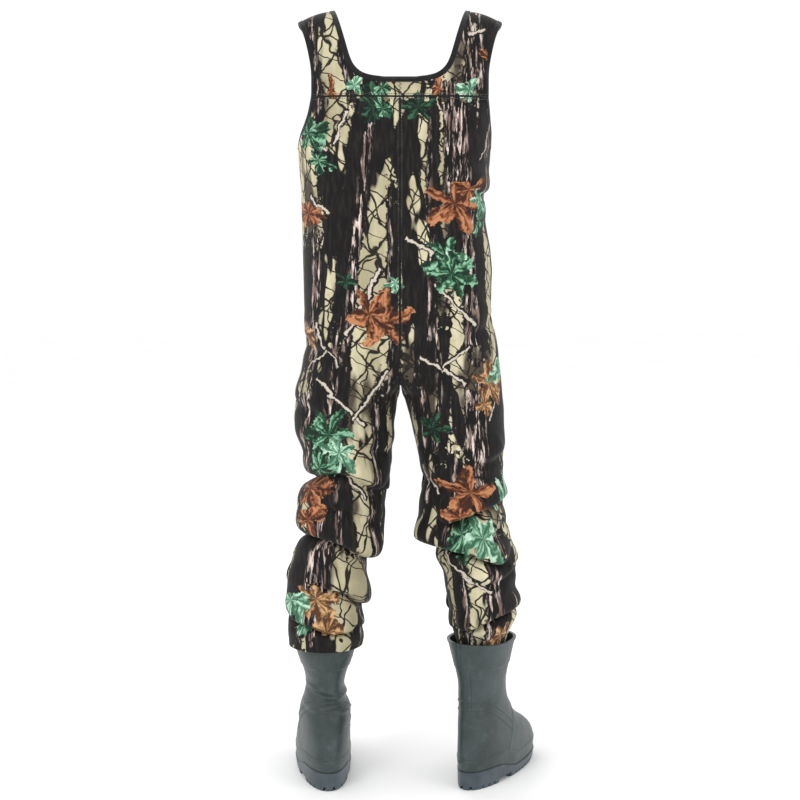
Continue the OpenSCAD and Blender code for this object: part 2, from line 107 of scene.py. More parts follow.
def add_object(name, points, faces, uvs=None, smooth=True):
    mesh = bpy.data.meshes.new(name)
    mesh.from_pydata([tuple(p) for p in points], [], faces)
    mesh.update()
    if uvs is not None:
        layer = mesh.uv_layers.new(name="print")
        loops = np.zeros(len(mesh.loops), dtype=np.int64)
        mesh.loops.foreach_get("vertex_index", loops)
        layer.data.foreach_set("uv", np.asarray(uvs, dtype=np.float32)[loops].ravel())
    if smooth:
        mesh.polygons.foreach_set("use_smooth", [True] * len(mesh.polygons))
    obj = bpy.data.objects.new(name, mesh)
    bpy.context.scene.collection.objects.link(obj)
    return obj


def quads(rows, cols, start, flip, wrap=False):
    faces = []
    last = cols if wrap else cols - 1
    for i in range(rows - 1):
        for j in range(last):
            k = (j + 1) % cols
            a = start + i * cols + j
            b = start + i * cols + k
            c = a + cols
            d = b + cols
            faces.append((a, c, d, b) if flip else (a, b, d, c))
    return faces


def strip(p, q, flip):
    faces = []
    for i in range(len(p) - 1):
        face = (p[i], p[i + 1], q[i + 1], q[i])
        faces.append(face[::-1] if flip else face)
    return faces


def solid_sheet(name, outer, thickness, turn, uvs=None, inner=None):
    """A closed sheet under an outer grid of points; its inner side and rim take material 1."""
    if inner is None:
        inner = outer - thickness * normals_of(outer, turn)
    rows, cols = outer.shape[:2]
    n = rows * cols
    flip = turn < 0
    points = np.concatenate([outer.reshape(-1, 3), inner.reshape(-1, 3)]) + WORLD
    faces = quads(rows, cols, 0, not flip)
    front = len(faces)
    faces += quads(rows, cols, n, flip)
    top = list(range(cols))
    bottom = [(rows - 1) * cols + j for j in range(cols)]
    first = [i * cols for i in range(rows)]
    last = [i * cols + cols - 1 for i in range(rows)]
    for edge, turned in ((top, flip), (bottom, not flip), (first, not flip), (last, flip)):
        faces += strip(edge, [k + n for k in edge], not turned)
    both = None
    if uvs is not None:
        flat = uvs.reshape(-1, 2)
        both = np.concatenate([flat, flat])
    obj = add_object(name, points, faces, both)
    index = np.ones(len(obj.data.polygons), dtype=np.int32)
    index[:front] = 0
    obj.data.polygons.foreach_set("material_index", index)
    fix_normals(obj)
    return obj


def fix_normals(obj, angle=50):
    mesh = obj.data
    work = bmesh.new()
    work.from_mesh(mesh)
    bmesh.ops.recalc_face_normals(work, faces=work.faces)
    work.to_mesh(mesh)
    work.free()
    mesh.set_sharp_from_angle(angle=math.radians(angle))


def paint(obj, *materials):
    obj.data.materials.clear()
    for material in materials:
        obj.data.materials.append(material)
    return obj


def tube(name, path, section, up, closed=False):
    """Sweeps a closed section of (across, up) points along a path, with one up vector per point."""
    path = np.asarray(path, float)
    up = np.asarray(up, float)
    tangent = np.gradient(path, axis=0)
    if closed:
        tangent = np.roll(path, -1, axis=0) - np.roll(path, 1, axis=0)
    tangent /= np.linalg.norm(tangent, axis=1, keepdims=True)
    across = np.cross(tangent, up)
    across /= np.linalg.norm(across, axis=1, keepdims=True)
    section = np.asarray(section, float)
    m = len(section)
    sideways = section[None, :, :1] * across[:, None, :]
    upwards = section[None, :, 1:] * up[:, None, :]
    rings = path[:, None, :] + sideways + upwards
    points = rings.reshape(-1, 3) + WORLD
    n = len(path)
    faces = quads(n, m, 0, False, wrap=True)
    if closed:
        for j in range(m):
            k = (j + 1) % m
            faces.append(((n - 1) * m + j, (n - 1) * m + k, k, j))
    else:
        faces.append(tuple(range(m)))
        faces.append(tuple((n - 1) * m + j for j in range(m)))
    run = run_along(path)
    uv = np.zeros((n, m, 2))
    uv[:, :, 0] = np.arange(m)[None, :] / m * 0.02
    uv[:, :, 1] = run[:, None]
    obj = add_object(name, points, faces, uv.reshape(-1, 2))
    fix_normals(obj)
    return obj


def rounded(w, h, r, steps=3):
    """A rounded rectangle of width w and height h as a closed list of points."""
    points = []
    for cx, cy, start in ((w / 2 - r, h / 2 - r, 0), (-w / 2 + r, h / 2 - r, 90),
                          (-w / 2 + r, -h / 2 + r, 180), (w / 2 - r, -h / 2 + r, 270)):
        for k in range(steps + 1):
            a = math.radians(start + 90 * k / steps)
            points.append((cx + r * math.cos(a), cy + r * math.sin(a)))
    return points


# ------------------------------------------------------------------ node materials
class Nodes:
    """Short calls for building a node tree."""

    def __init__(self, tree):
        self.tree = tree

    def link(self, value, socket):
        if hasattr(value, "links"):
            self.tree.links.new(value, socket)
        else:
            socket.default_value = value

    def math(self, operation, a, b=0.0, c=0.0, clamp=False):
        node = self.tree.nodes.new("ShaderNodeMath")
        node.operation = operation
        node.use_clamp = clamp
        for value, socket in zip((a, b, c), node.inputs):
            self.link(value, socket)
        return node.outputs[0]

    def mix(self, factor, a, b, blend="MIX"):
        node = self.tree.nodes.new("ShaderNodeMix")
        node.data_type = "RGBA"
        node.blend_type = blend
        self.link(factor, node.inputs[0])
        self.link(a, node.inputs[6])
        self.link(b, node.inputs[7])
        return node.outputs[2]

    def smooth(self, value, low, high):
        """0 below low and 1 above high, with a soft step between them."""
        node = self.tree.nodes.new("ShaderNodeMapRange")
        node.interpolation_type = "SMOOTHSTEP"
        self.link(value, node.inputs[0])
        self.link(low, node.inputs[1])
        self.link(high, node.inputs[2])
        return node.outputs[0]

    def noise(self, vector, scale, detail=2.0, rough=0.5, stretch=None, distortion=0.0):
        if stretch is not None:
            vector = self.scaled(vector, stretch)
        node = self.tree.nodes.new("ShaderNodeTexNoise")
        self.link(vector, node.inputs["Vector"])
        node.inputs["Scale"].default_value = scale
        node.inputs["Detail"].default_value = detail
        node.inputs["Roughness"].default_value = rough
        node.inputs["Distortion"].default_value = distortion
        return node.outputs[0]

    def three_noises(self, vector, scale, detail):
        """Three unrelated noises of one scale."""
        node = self.tree.nodes.new("ShaderNodeTexNoise")
        self.link(vector, node.inputs["Vector"])
        node.inputs["Scale"].default_value = scale
        node.inputs["Detail"].default_value = detail
        node.inputs["Roughness"].default_value = 0.62
        parts = self.tree.nodes.new("ShaderNodeSeparateColor")
        self.link(node.outputs["Color"], parts.inputs[0])
        return parts.outputs[0], parts.outputs[1], parts.outputs[2]

    def scaled(self, vector, by):
        node = self.tree.nodes.new("ShaderNodeVectorMath")
        node.operation = "MULTIPLY"
        self.link(vector, node.inputs[0])
        node.inputs[1].default_value = by
        return node.outputs[0]

    def split(self, vector):
        node = self.tree.nodes.new("ShaderNodeSeparateXYZ")
        self.link(vector, node.inputs[0])
        return node.outputs[0], node.outputs[1], node.outputs[2]

    def bump(self, height, strength, distance, normal=None):
        node = self.tree.nodes.new("ShaderNodeBump")
        node.inputs["Strength"].default_value = strength
        node.inputs["Distance"].default_value = distance
        self.link(height, node.inputs["Height"])
        if normal is not None:
            self.link(normal, node.inputs["Normal"])
        return node.outputs[0]

    def object_coords(self):
        return self.tree.nodes.new("ShaderNodeTexCoord").outputs["Object"]

    def print_coords(self):
        node = self.tree.nodes.new("ShaderNodeUVMap")
        node.uv_map = "print"
        return node.outputs[0]


def srgb(r, g, b):
    """A linear colour from 8-bit display values."""
    out = []
    for value in (r, g, b):
        v = value / 255
        out.append(v / 12.92 if v <= 0.04045 else ((v + 0.055) / 1.055) ** 2.4)
    return (*out, 1.0)


def new_material(name, rough=0.6, sheen=0.0, specular=0.5, metal=0.0):
    material = bpy.data.materials.new(name)
    material.use_nodes = True
    tree = material.node_tree
    shader = tree.nodes["Principled BSDF"]
    shader.inputs["Roughness"].default_value = rough
    shader.inputs["Sheen Weight"].default_value = sheen
    shader.inputs["Sheen Roughness"].default_value = 0.4
    shader.inputs["Specular IOR Level"].default_value = specular
    shader.inputs["Metallic"].default_value = metal
    return material, Nodes(tree), shader


def leaf_group():
    """One printed leaf: where it is, how it is turned, its size and lobes, and its three colours."""
    group = bpy.data.node_groups.new("printed_leaf", "ShaderNodeTree")
    numbers = ("U", "V", "Rough", "Fine", "Centre U", "Centre V", "Cos", "Sin", "Size", "Narrow",
               "Lobes", "Depth", "Seed")
    for label in numbers:
        group.interface.new_socket(name=label, in_out="INPUT", socket_type="NodeSocketFloat")
    for label in ("Under", "Dark", "Middle", "Light"):
        group.interface.new_socket(name=label, in_out="INPUT", socket_type="NodeSocketColor")
    group.interface.new_socket(name="Colour", in_out="OUTPUT", socket_type="NodeSocketColor")
    n = Nodes(group)
    get = group.nodes.new("NodeGroupInput").outputs
    du = n.math("SUBTRACT", get["U"], get["Centre U"])
    dv = n.math("SUBTRACT", get["V"], get["Centre V"])
    a = n.math("MULTIPLY_ADD", du, get["Cos"], n.math("MULTIPLY", dv, get["Sin"]))
    b = n.math("SUBTRACT", n.math("MULTIPLY", dv, get["Cos"]), n.math("MULTIPLY", du, get["Sin"]))
    a = n.math("DIVIDE", a, get["Size"])
    b = n.math("MULTIPLY", n.math("DIVIDE", b, get["Size"]), get["Narrow"])
    radius = n.math("SQRT", n.math("MULTIPLY_ADD", a, a, n.math("MULTIPLY", b, b)))
    angle = n.math("ARCTAN2", b, a)
    wave = n.math("COSINE", n.math("MULTIPLY", angle, get["Lobes"]))
    edge = n.math("MULTIPLY_ADD", wave, get["Depth"], 0.74)
    edge = n.math("MULTIPLY_ADD", get["Rough"], 1.3, n.math("SUBTRACT", edge, 0.65))
    edge = n.math("MULTIPLY_ADD", n.math("SINE", n.math("MULTIPLY_ADD", angle, 1.0, get["Seed"])), 0.16, edge)
    inside = n.smooth(n.math("SUBTRACT", edge, radius), 0.0, 0.05)
    broad = n.math("MULTIPLY_ADD", angle, 5.0, n.math("MULTIPLY_ADD", get["Rough"], 9.0, get["Seed"]))
    narrow = n.math("MULTIPLY_ADD", angle, 13.0, n.math("MULTIPLY_ADD", get["Fine"], 16.0, get["Seed"]))
    streak = n.math("MULTIPLY_ADD", n.math("SINE", broad), 0.18, get["Fine"])
    streak = n.math("MULTIPLY_ADD", n.math("SINE", narrow), 0.16, streak)
    half_lobes = n.math("MULTIPLY", get["Lobes"], 0.5)
    vein = n.math("ABSOLUTE", n.math("SINE", n.math("MULTIPLY", angle, half_lobes)))
    vein = n.math("MULTIPLY", vein, radius)
    vein = n.math("SUBTRACT", 1.0, n.smooth(vein, 0.0, 0.07))
    body = n.mix(n.smooth(streak, 0.30, 0.64), get["Dark"], get["Middle"])
    body = n.mix(n.smooth(n.math("MULTIPLY_ADD", radius, 0.16, streak), 0.62, 0.90), body, get["Light"])
    body = n.mix(n.math("MULTIPLY", vein, 0.40), body, get["Dark"])
    out = group.nodes.new("NodeGroupOutput")
    n.link(n.mix(inside, get["Under"], body), out.inputs["Colour"])
    return group


GREEN = (srgb(16, 38, 27), srgb(46, 92, 64), srgb(132, 182, 150))
FOREST = (srgb(10, 22, 17), srgb(22, 48, 35), srgb(52, 94, 66))
MINT = (srgb(54, 96, 72), srgb(122, 166, 138), srgb(184, 214, 192))
RUST = (srgb(56, 30, 20), srgb(134, 78, 48), srgb(182, 124, 86))
TAN = (srgb(78, 52, 34), srgb(158, 116, 76), srgb(204, 164, 120))

# Leaves of the print: (u, v, turn in degrees, size, narrow, lobes, lobe depth, colours).
# u runs across the back from the centre seam, + to the wearer's left, and v is the height up the cloth.
LEAVES = [
    (0.050, 1.275, 70, 0.050, 1.5, 3, 0.16, FOREST),
    (0.030, 1.270, 60, 0.030, 1.9, 3, 0.16, GREEN),
    (-0.035, 1.270, 160, 0.036, 1.1, 5, 0.24, FOREST),
    (0.180, 1.225, 10, 0.062, 1.6, 5, 0.20, GREEN),
    (0.150, 1.175, 200, 0.034, 1.3, 5, 0.22, GREEN),
    (0.186, 1.085, 5, 0.062, 1.9, 2, 0.10, RUST),
    (-0.098, 1.100, 30, 0.060, 1.3, 5, 0.30, RUST),
    (-0.132, 1.130, 150, 0.044, 1.6, 3, 0.26, RUST),
    (-0.165, 1.105, 210, 0.040, 1.4, 5, 0.24, MINT),
    (-0.160, 1.070, 300, 0.034, 1.3, 3, 0.26, GREEN),
    (-0.082, 1.005, 40, 0.050, 1.2, 5, 0.26, GREEN),
    (-0.110, 0.985, 230, 0.046, 1.3, 6, 0.24, MINT),
    (-0.092, 0.975, 200, 0.056, 1.25, 7, 0.20, GREEN),
    (0.030, 0.885, 160, 0.060, 1.2, 5, 0.30, RUST),
    (0.056, 0.905, 60, 0.050, 1.3, 5, 0.24, RUST),
    (0.008, 0.955, 200, 0.022, 1.1, 5, 0.26, MINT),
    (0.100, 0.960, 190, 0.026, 1.4, 5, 0.24, FOREST),
    (0.212, 0.870, 15, 0.060, 1.9, 2, 0.12, TAN),
    (-0.176, 0.770, 25, 0.058, 1.4, 5, 0.22, TAN),
    (-0.160, 0.735, 100, 0.034, 1.5, 3, 0.20, TAN),
    (-0.228, 0.790, 160, 0.068, 2.2, 2, 0.14, MINT),
    (0.130, 0.680, 120, 0.062, 1.15, 6, 0.24, GREEN),
    (0.112, 0.645, 230, 0.040, 1.2, 5, 0.26, MINT),
    (0.145, 0.625, 280, 0.036, 1.2, 7, 0.26, GREEN),
    (-0.056, 0.690, 180, 0.036, 1.2, 5, 0.28, FOREST),
    (0.178, 0.575, 20, 0.054, 1.3, 5, 0.22, RUST),
    (0.170, 0.520, 10, 0.040, 1.6, 3, 0.28, RUST),
    (-0.128, 0.575, 15, 0.060, 1.5, 5, 0.34, RUST),
    (-0.112, 0.540, 0, 0.036, 1.6, 3, 0.26, RUST),
    (-0.118, 0.502, 110, 0.062, 1.8, 5, 0.22, GREEN),
    (-0.150, 0.488, 70, 0.052, 1.7, 5, 0.22, MINT),
    (-0.200, 0.560, 130, 0.040, 1.5, 5, 0.26, MINT),
    (0.160, 0.372, 25, 0.050, 1.25, 5, 0.18, TAN),
    (0.140, 0.325, 10, 0.036, 1.5, 4, 0.20, TAN),
    (0.222, 0.358, 170, 0.058, 2.0, 2, 0.14, MINT),
    (0.185, 0.320, 80, 0.034, 1.8, 3, 0.20, MINT),
    (-0.190, 0.298, 120, 0.040, 1.6, 5, 0.20, TAN),
    (-0.160, 1.365, 15, 0.030, 2.0, 3, 0.26, RUST),
    (0.082, 1.310, 120, 0.024, 1.4, 3, 0.24, MINT),
    (-0.124, 1.306, 120, 0.026, 1.4, 3, 0.24, MINT),
    (0.030, 1.303, 90, 0.018, 0.9, 4, 0.10, GREEN),
    (0.126, 1.302, 90, 0.020, 1.6, 3, 0.26, RUST),
    (-0.072, 1.305, 80, 0.020, 1.6, 3, 0.26, RUST),
]

# Trunks of the print: (u and v at the foot, u and v at the head, half width, side of the bark)
TRUNKS = [
    (0.112, 0.830, 0.060, 1.300, 0.023, -1),
    (0.118, 0.700, 0.104, 0.860, 0.022, 1),
    (0.010, 0.760, 0.014, 1.120, 0.013, 1),
    (0.196, 0.780, 0.178, 1.040, 0.036, -1),
    (0.150, 1.120, 0.150, 1.330, 0.010, 1),
    (0.214, 0.560, 0.200, 0.760, 0.036, -1),
    (0.044, 0.250, 0.030, 0.760, 0.020, 1),
    (0.205, 0.300, 0.165, 0.500, 0.052, -1),
    (0.098, 0.480, 0.112, 0.600, 0.018, 1),
    (-0.062, 0.860, -0.060, 1.300, 0.013, 1),
    (-0.130, 1.120, -0.122, 1.300, 0.048, 1),
    (-0.176, 1.120, -0.170, 1.300, 0.030, -1),
    (-0.150, 0.830, -0.142, 1.080, 0.034, 1),
    (-0.072, 0.620, -0.078, 0.900, 0.016, 1),
    (-0.165, 0.600, -0.168, 0.760, 0.050, 1),
    (-0.030, 0.560, -0.022, 0.770, 0.018, -1),
    (-0.085, 0.500, -0.095, 0.640, 0.016, -1),
    (-0.185, 0.280, -0.188, 0.480, 0.030, 1),
    (-0.120, 0.280, -0.105, 0.480, 0.018, -1),
    (-0.150, 1.290, -0.150, 1.500, 0.040, 1),
    (0.085, 1.290, 0.110, 1.500, 0.014, 1),
    (0.160, 1.290, 0.172, 1.500, 0.018, -1),
]

# Bare twigs of the print: (u, v of one end, u, v of the other, half width), pale on one side
TWIGS = [
    (0.028, 0.985, 0.098, 0.860, 0.0034),
    (0.180, 1.115, 0.125, 1.080, 0.0030),
    (0.160, 0.890, 0.110, 0.800, 0.0028),
    (0.190, 0.800, 0.130, 0.840, 0.0022),
    (0.155, 0.790, 0.062, 0.690, 0.0030),
    (0.090, 0.700, 0.020, 0.800, 0.0030),
    (-0.005, 1.045, -0.062, 1.010, 0.0034),
    (-0.030, 0.830, -0.125, 0.770, 0.0034),
    (-0.070, 0.800, -0.130, 0.850, 0.0026),
    (-0.062, 0.960, -0.140, 0.880, 0.0026),
    (0.130, 1.190, 0.190, 1.260, 0.0030),
    (0.118, 1.200, 0.098, 1.270, 0.0026),
    (0.105, 0.600, 0.058, 0.560, 0.0030),
    (-0.070, 0.560, -0.020, 0.620, 0.0024),
    (0.120, 0.400, 0.060, 0.355, 0.0030),
    (-0.160, 1.410, -0.120, 1.400, 0.0026),
    (-0.170, 0.700, -0.210, 0.780, 0.0018),
    (-0.190, 1.210, -0.150, 1.180, 0.0014),
    (-0.060, 0.470, -0.170, 0.380, 0.0024),
]


def camouflage(n, coords):
    """The printed woodland cloth: pale gaps, branches, bark trunks, twigs and leaves."""
    u, v = n.split(coords)[:2]
    low_u, low_v, drift = n.three_noises(coords, 9.0, 3.0)
    rough, fine, spare = n.three_noises(coords, 62.0, 4.0)
    cloud, far, patches = n.three_noises(n.scaled(coords, (1.0, 0.30, 1.0)), 13.0, 3.0)
    grain, bark_light = n.three_noises(n.scaled(coords, (2.6, 0.42, 1.0)), 62.0, 4.0)[:2]
    wide = n.math("MULTIPLY_ADD", low_u, 0.030, n.math("SUBTRACT", u, 0.018))
    wide = n.math("MULTIPLY_ADD", far, 0.006, wide)
    tall = n.math("MULTIPLY_ADD", low_v, 0.030, n.math("SUBTRACT", v, 0.017))
    tall = n.math("MULTIPLY_ADD", grain, 0.004, tall)
    wobble = n.math("MULTIPLY_ADD", fine, 0.020, -0.010)
    # pale gaps, mottled by two noises
    colour = n.mix(n.smooth(cloud, 0.35, 0.7), srgb(160, 152, 122), srgb(214, 206, 174))
    colour = n.mix(n.smooth(spare, 0.5, 0.75), colour, srgb(176, 164, 134))
    # far trunks, soft and brownish
    colour = n.mix(n.smooth(far, 0.54, 0.62), colour, srgb(74, 66, 54))
    # thin branches in four directions
    for turn, count, offset in ((0.9, 16, 0.0), (-0.75, 14, 3.1), (0.22, 19, 7.3), (-2.2, 13, 1.7)):
        wave = n.math("MULTIPLY_ADD", tall, turn, wide)
        wave = n.math("MULTIPLY_ADD", drift, 0.07 + 0.01 * offset, wave)
        cut = n.math("PINGPONG", n.math("MULTIPLY_ADD", wave, count, offset), 0.5)
        width = n.math("MULTIPLY_ADD", rough if turn > 0 else patches, 0.082, -0.004)
        line = n.math("SUBTRACT", 1.0, n.smooth(n.math("SUBTRACT", cut, width), -0.012, 0.016))
        colour = n.mix(line, colour, srgb(34, 28, 22))
    # trunks with bark down one side
    dark = n.math("MULTIPLY", n.math("SUBTRACT", patches, 0.505), 0.12)
    bark = None
    for u0, v0, u1, v1, half, side in TRUNKS:
        slope = (u1 - u0) / (v1 - v0)
        centre = n.math("MULTIPLY_ADD", tall, slope, u0 - slope * v0)
        away = n.math("SUBTRACT", wide, centre)
        depth = n.math("SUBTRACT", half, n.math("ABSOLUTE", n.math("ADD", away, wobble)))
        end = n.math("SUBTRACT", (v1 - v0) / 2, n.math("ABSOLUTE", n.math("SUBTRACT", tall, (v0 + v1) / 2)))
        end = n.math("MULTIPLY_ADD", spare, 0.10, n.math("MULTIPLY_ADD", end, 0.35, -0.045))
        depth = n.math("MINIMUM", depth, end)
        dark = n.math("MAXIMUM", dark, depth)
        lit = n.math("SUBTRACT", half * 0.5, n.math("ABSOLUTE", n.math("SUBTRACT", away, side * half * 0.5)))
        lit = n.math("MINIMUM", lit, depth)
        bark = lit if bark is None else n.math("MAXIMUM", bark, lit)
    solid = n.smooth(dark, -0.001, 0.0016)
    plain = n.mix(n.smooth(grain, 0.42, 0.7), srgb(11, 9, 9), srgb(34, 29, 27))
    flecks = n.smooth(grain, 0.50, 0.57)
    strong = n.mix(n.smooth(bark_light, 0.42, 0.62), srgb(112, 92, 84), srgb(222, 204, 194))
    textured = n.mix(n.math("MULTIPLY", flecks, n.smooth(bark, 0.0, 0.008)), plain, strong)
    colour = n.mix(solid, colour, textured)
    # twigs
    for u0, v0, u1, v1, half in TWIGS:
        length = math.hypot(u1 - u0, v1 - v0)
        cu = (u1 - u0) / length
        cv = (v1 - v0) / length
        x = n.math("SUBTRACT", wide, (u0 + u1) / 2)
        y = n.math("SUBTRACT", tall, (v0 + v1) / 2)
        run = n.math("MULTIPLY_ADD", x, cu, n.math("MULTIPLY", y, cv))
        off = n.math("MULTIPLY_ADD", x, -cv, n.math("MULTIPLY_ADD", y, cu, wobble))
        near = n.math("SUBTRACT", half * 1.9, n.math("ABSOLUTE", off))
        near = n.math("MINIMUM", near, n.math("SUBTRACT", length / 2, n.math("ABSOLUTE", run)))
        colour = n.mix(n.smooth(near, -0.0004, 0.0008), colour, srgb(24, 20, 18))
        core = n.math("SUBTRACT", half * 0.8, n.math("ABSOLUTE", n.math("SUBTRACT", off, half * 0.5)))
        core = n.math("MINIMUM", core, n.math("SUBTRACT", length / 2 - 0.004, n.math("ABSOLUTE", run)))
        colour = n.mix(n.smooth(core, -0.0006, 0.0008), colour, srgb(196, 186, 172))
    # leaves
    group = leaf_group()
    for number, (u, v, turn, size, narrow, lobes, depth, shades) in enumerate(LEAVES):
        node = n.tree.nodes.new("ShaderNodeGroup")
        node.node_tree = group
        values = {"Centre U": u, "Centre V": v, "Cos": math.cos(math.radians(turn)),
                  "Sin": math.sin(math.radians(turn)), "Size": size, "Narrow": narrow,
                  "Lobes": float(lobes), "Depth": depth, "Seed": 1.7 * number,
                  "Dark": shades[0], "Middle": shades[1], "Light": shades[2]}
        for label, value in values.items():
            node.inputs[label].default_value = value
        for label, source in (("U", wide), ("V", tall), ("Rough", rough), ("Fine", fine), ("Under", colour)):
            n.link(source, node.inputs[label])
        colour = node.outputs["Colour"]
    return colour


def camo_material(name):
    material, n, shader = new_material(name, rough=0.80, sheen=0.07, specular=0.25)
    coords = n.print_coords()
    colour = camouflage(n, coords)
    n.link(colour, shader.inputs["Base Color"])
    knit = n.noise(coords, 900, 2.0, 0.6, (1.0, 0.6, 1.0))
    slack = n.noise(coords, 60, 3.0, 0.5)
    height = n.math("ADD", n.math("MULTIPLY", knit, 0.5), slack)
    n.link(n.bump(height, 0.35, 0.0012), shader.inputs["Normal"])
    return material


def cloth_material(name, low, high, pitch, rough=0.85, sheen=0.2, strength=0.5):
    """Plain woven or knitted cloth of one colour, with ribs of the given pitch in metres."""
    material, n, shader = new_material(name, rough=rough, sheen=sheen, specular=0.25)
    where = n.object_coords()
    mottled = n.noise(where, 60, 4.0, 0.65)
    n.link(n.mix(n.smooth(mottled, 0.3, 0.75), low, high), shader.inputs["Base Color"])
    x, y, z = n.split(where)
    turns = 2 * math.pi / pitch
    warp_threads = n.math("SINE", n.math("MULTIPLY", n.math("ADD", x, y), turns))
    weft_threads = n.math("SINE", n.math("MULTIPLY", z, turns))
    weave = n.math("MULTIPLY", warp_threads, weft_threads)
    height = n.math("ADD", n.math("MULTIPLY", weave, 0.5), n.noise(where, 700, 2.0, 0.6))
    n.link(n.bump(height, strength, 0.0006), shader.inputs["Normal"])
    return material


def rubber_material(name, dark, light, tint):
    material, n, shader = new_material(name, rough=0.42, specular=0.45)
    where = n.object_coords()
    cloud = n.noise(where, 14, 4.0, 0.6)
    colour = n.mix(n.smooth(cloud, 0.32, 0.7), dark, light)
    dust = n.smooth(n.noise(where, 45, 5.0, 0.7), 0.52, 0.8)
    colour = n.mix(n.math("MULTIPLY", dust, 0.35), colour, tint)
    n.link(colour, shader.inputs["Base Color"])
    rough = n.math("MULTIPLY_ADD", n.noise(where, 30, 3.0, 0.6), 0.25, 0.30)
    n.link(rough, shader.inputs["Roughness"])
    grain = n.noise(where, 1400, 2.0, 0.5)
    dents = n.noise(where, 24, 3.0, 0.5)
    height = n.math("MULTIPLY_ADD", grain, 0.12, dents)
    n.link(n.bump(height, 0.30, 0.0016), shader.inputs["Normal"])
    return material


def plastic_material(name, colour, rough=0.45):
    material, n, shader = new_material(name, rough=rough, specular=0.5)
    where = n.object_coords()
    cloud = n.noise(where, 90, 3.0, 0.6)
    brighter = tuple(min(1.0, c * 1.8 + 0.004) for c in colour[:3]) + (1.0,)
    n.link(n.mix(n.smooth(cloud, 0.35, 0.75), colour, brighter), shader.inputs["Base Color"])
    n.link(n.bump(n.noise(where, 2200, 2.0, 0.5), 0.35, 0.0003), shader.inputs["Normal"])
    return material


CAMO = camo_material("camo_jersey_neoprene")
INSIDE = cloth_material("neoprene_inner_jersey", srgb(34, 34, 35), srgb(52, 52, 54), 0.0016)
BINDING = cloth_material("black_elastic_binding", srgb(16, 16, 17), srgb(34, 34, 36), 0.0012)
WEBBING = cloth_material("black_webbing", srgb(20, 20, 21), srgb(42, 42, 44), 0.0022, strength=0.8)
THREAD_LIGHT = cloth_material("grey_thread", srgb(70, 64, 58), srgb(120, 112, 102), 0.0010)
THREAD = cloth_material("black_thread", srgb(12, 12, 12), srgb(30, 30, 30), 0.0010)
TAPE = cloth_material("seam_tape", srgb(40, 40, 42), srgb(58, 58, 60), 0.0014)
HOOKS = cloth_material("hook_and_loop", srgb(16, 16, 16), srgb(40, 40, 40), 0.0011, strength=1.0)
FELT = cloth_material("boot_felt", srgb(58, 60, 62), srgb(84, 86, 88), 0.0018)
RUBBER = rubber_material("boot_rubber", srgb(40, 50, 50), srgb(60, 72, 72), srgb(90, 102, 102))
SOLE = rubber_material("outsole_rubber", srgb(52, 63, 70), srgb(74, 86, 94), srgb(104, 116, 124))
# dark rubber for the cord on the sole line: painted shade of the groove where the upper meets the outsole
SOLE_GAP_SHADE = rubber_material("groove_shade_rubber", srgb(20, 26, 26), srgb(34, 42, 42), srgb(46, 54, 54))
PLASTIC = plastic_material("buckle_plastic", srgb(22, 22, 23))


def steel_material(name):
    material, n, shader = new_material(name, rough=0.3, metal=1.0)
    where = n.object_coords()
    cloud = n.noise(where, 160, 3.0, 0.6)
    colour = n.mix(n.smooth(cloud, 0.3, 0.7), srgb(150, 150, 152), srgb(190, 190, 192))
    n.link(colour, shader.inputs["Base Color"])
    n.link(n.math("MULTIPLY_ADD", cloud, 0.25, 0.18), shader.inputs["Roughness"])
    n.link(n.bump(n.noise(where, 1800, 2.0, 0.5), 0.2, 0.0002), shader.inputs["Normal"])
    return material


STEEL = steel_material("plated_steel")

# ------------------------------------------------------------------ garment sections
INNER = {
    1: [(1.3, 0), (0.775, 0), (0.752, 0.001), (0.722, 0.006), (0.687, 0.011), (0.631, 0.016), (0.574, 0.022),
        (0.537, 0.029), (0.500, 0.031), (0.475, 0.034), (0.453, 0.045), (0.437, 0.062), (0.400, 0.070),
        (0.372, 0.070), (0.330, 0.074), (0.305, 0.073), (0.286, 0.071), (0.240, 0.073)],
    -1: [(1.3, 0), (0.775, 0), (0.752, 0.004), (0.722, 0.012), (0.687, 0.022), (0.631, 0.036), (0.588, 0.046),
         (0.556, 0.040), (0.530, 0.034), (0.503, 0.034), (0.488, 0.044), (0.476, 0.068), (0.450, 0.074),
         (0.405, 0.080), (0.343, 0.092), (0.305, 0.098), (0.286, 0.104), (0.260, 0.112), (0.240, 0.118)],
}
OUTER = {
    1: [(1.30, 0.187), (1.200, 0.189), (1.117, 0.183), (1.023, 0.181), (0.911, 0.179), (0.836, 0.176),
        (0.799, 0.182), (0.761, 0.191), (0.724, 0.198), (0.677, 0.196), (0.645, 0.186), (0.618, 0.170),
        (0.593, 0.160), (0.570, 0.184), (0.545, 0.195), (0.520, 0.188), (0.492, 0.175), (0.465, 0.190),
        (0.440, 0.200), (0.415, 0.209), (0.369, 0.214), (0.312, 0.213), (0.284, 0.213), (0.240, 0.209)],
    -1: [(1.30, 0.180), (1.239, 0.172), (1.200, 0.168), (1.173, 0.166), (1.108, 0.156), (1.070, 0.158),
         (1.020, 0.168), (0.977, 0.172), (0.911, 0.168), (0.855, 0.178), (0.799, 0.187), (0.724, 0.195),
         (0.649, 0.198), (0.610, 0.192), (0.582, 0.184), (0.560, 0.196), (0.545, 0.192), (0.528, 0.192),
         (0.490, 0.204), (0.453, 0.215), (0.410, 0.219), (0.374, 0.214), (0.350, 0.220), (0.327, 0.216),
         (0.302, 0.211), (0.286, 0.204), (0.260, 0.198), (0.240, 0.190)],
}
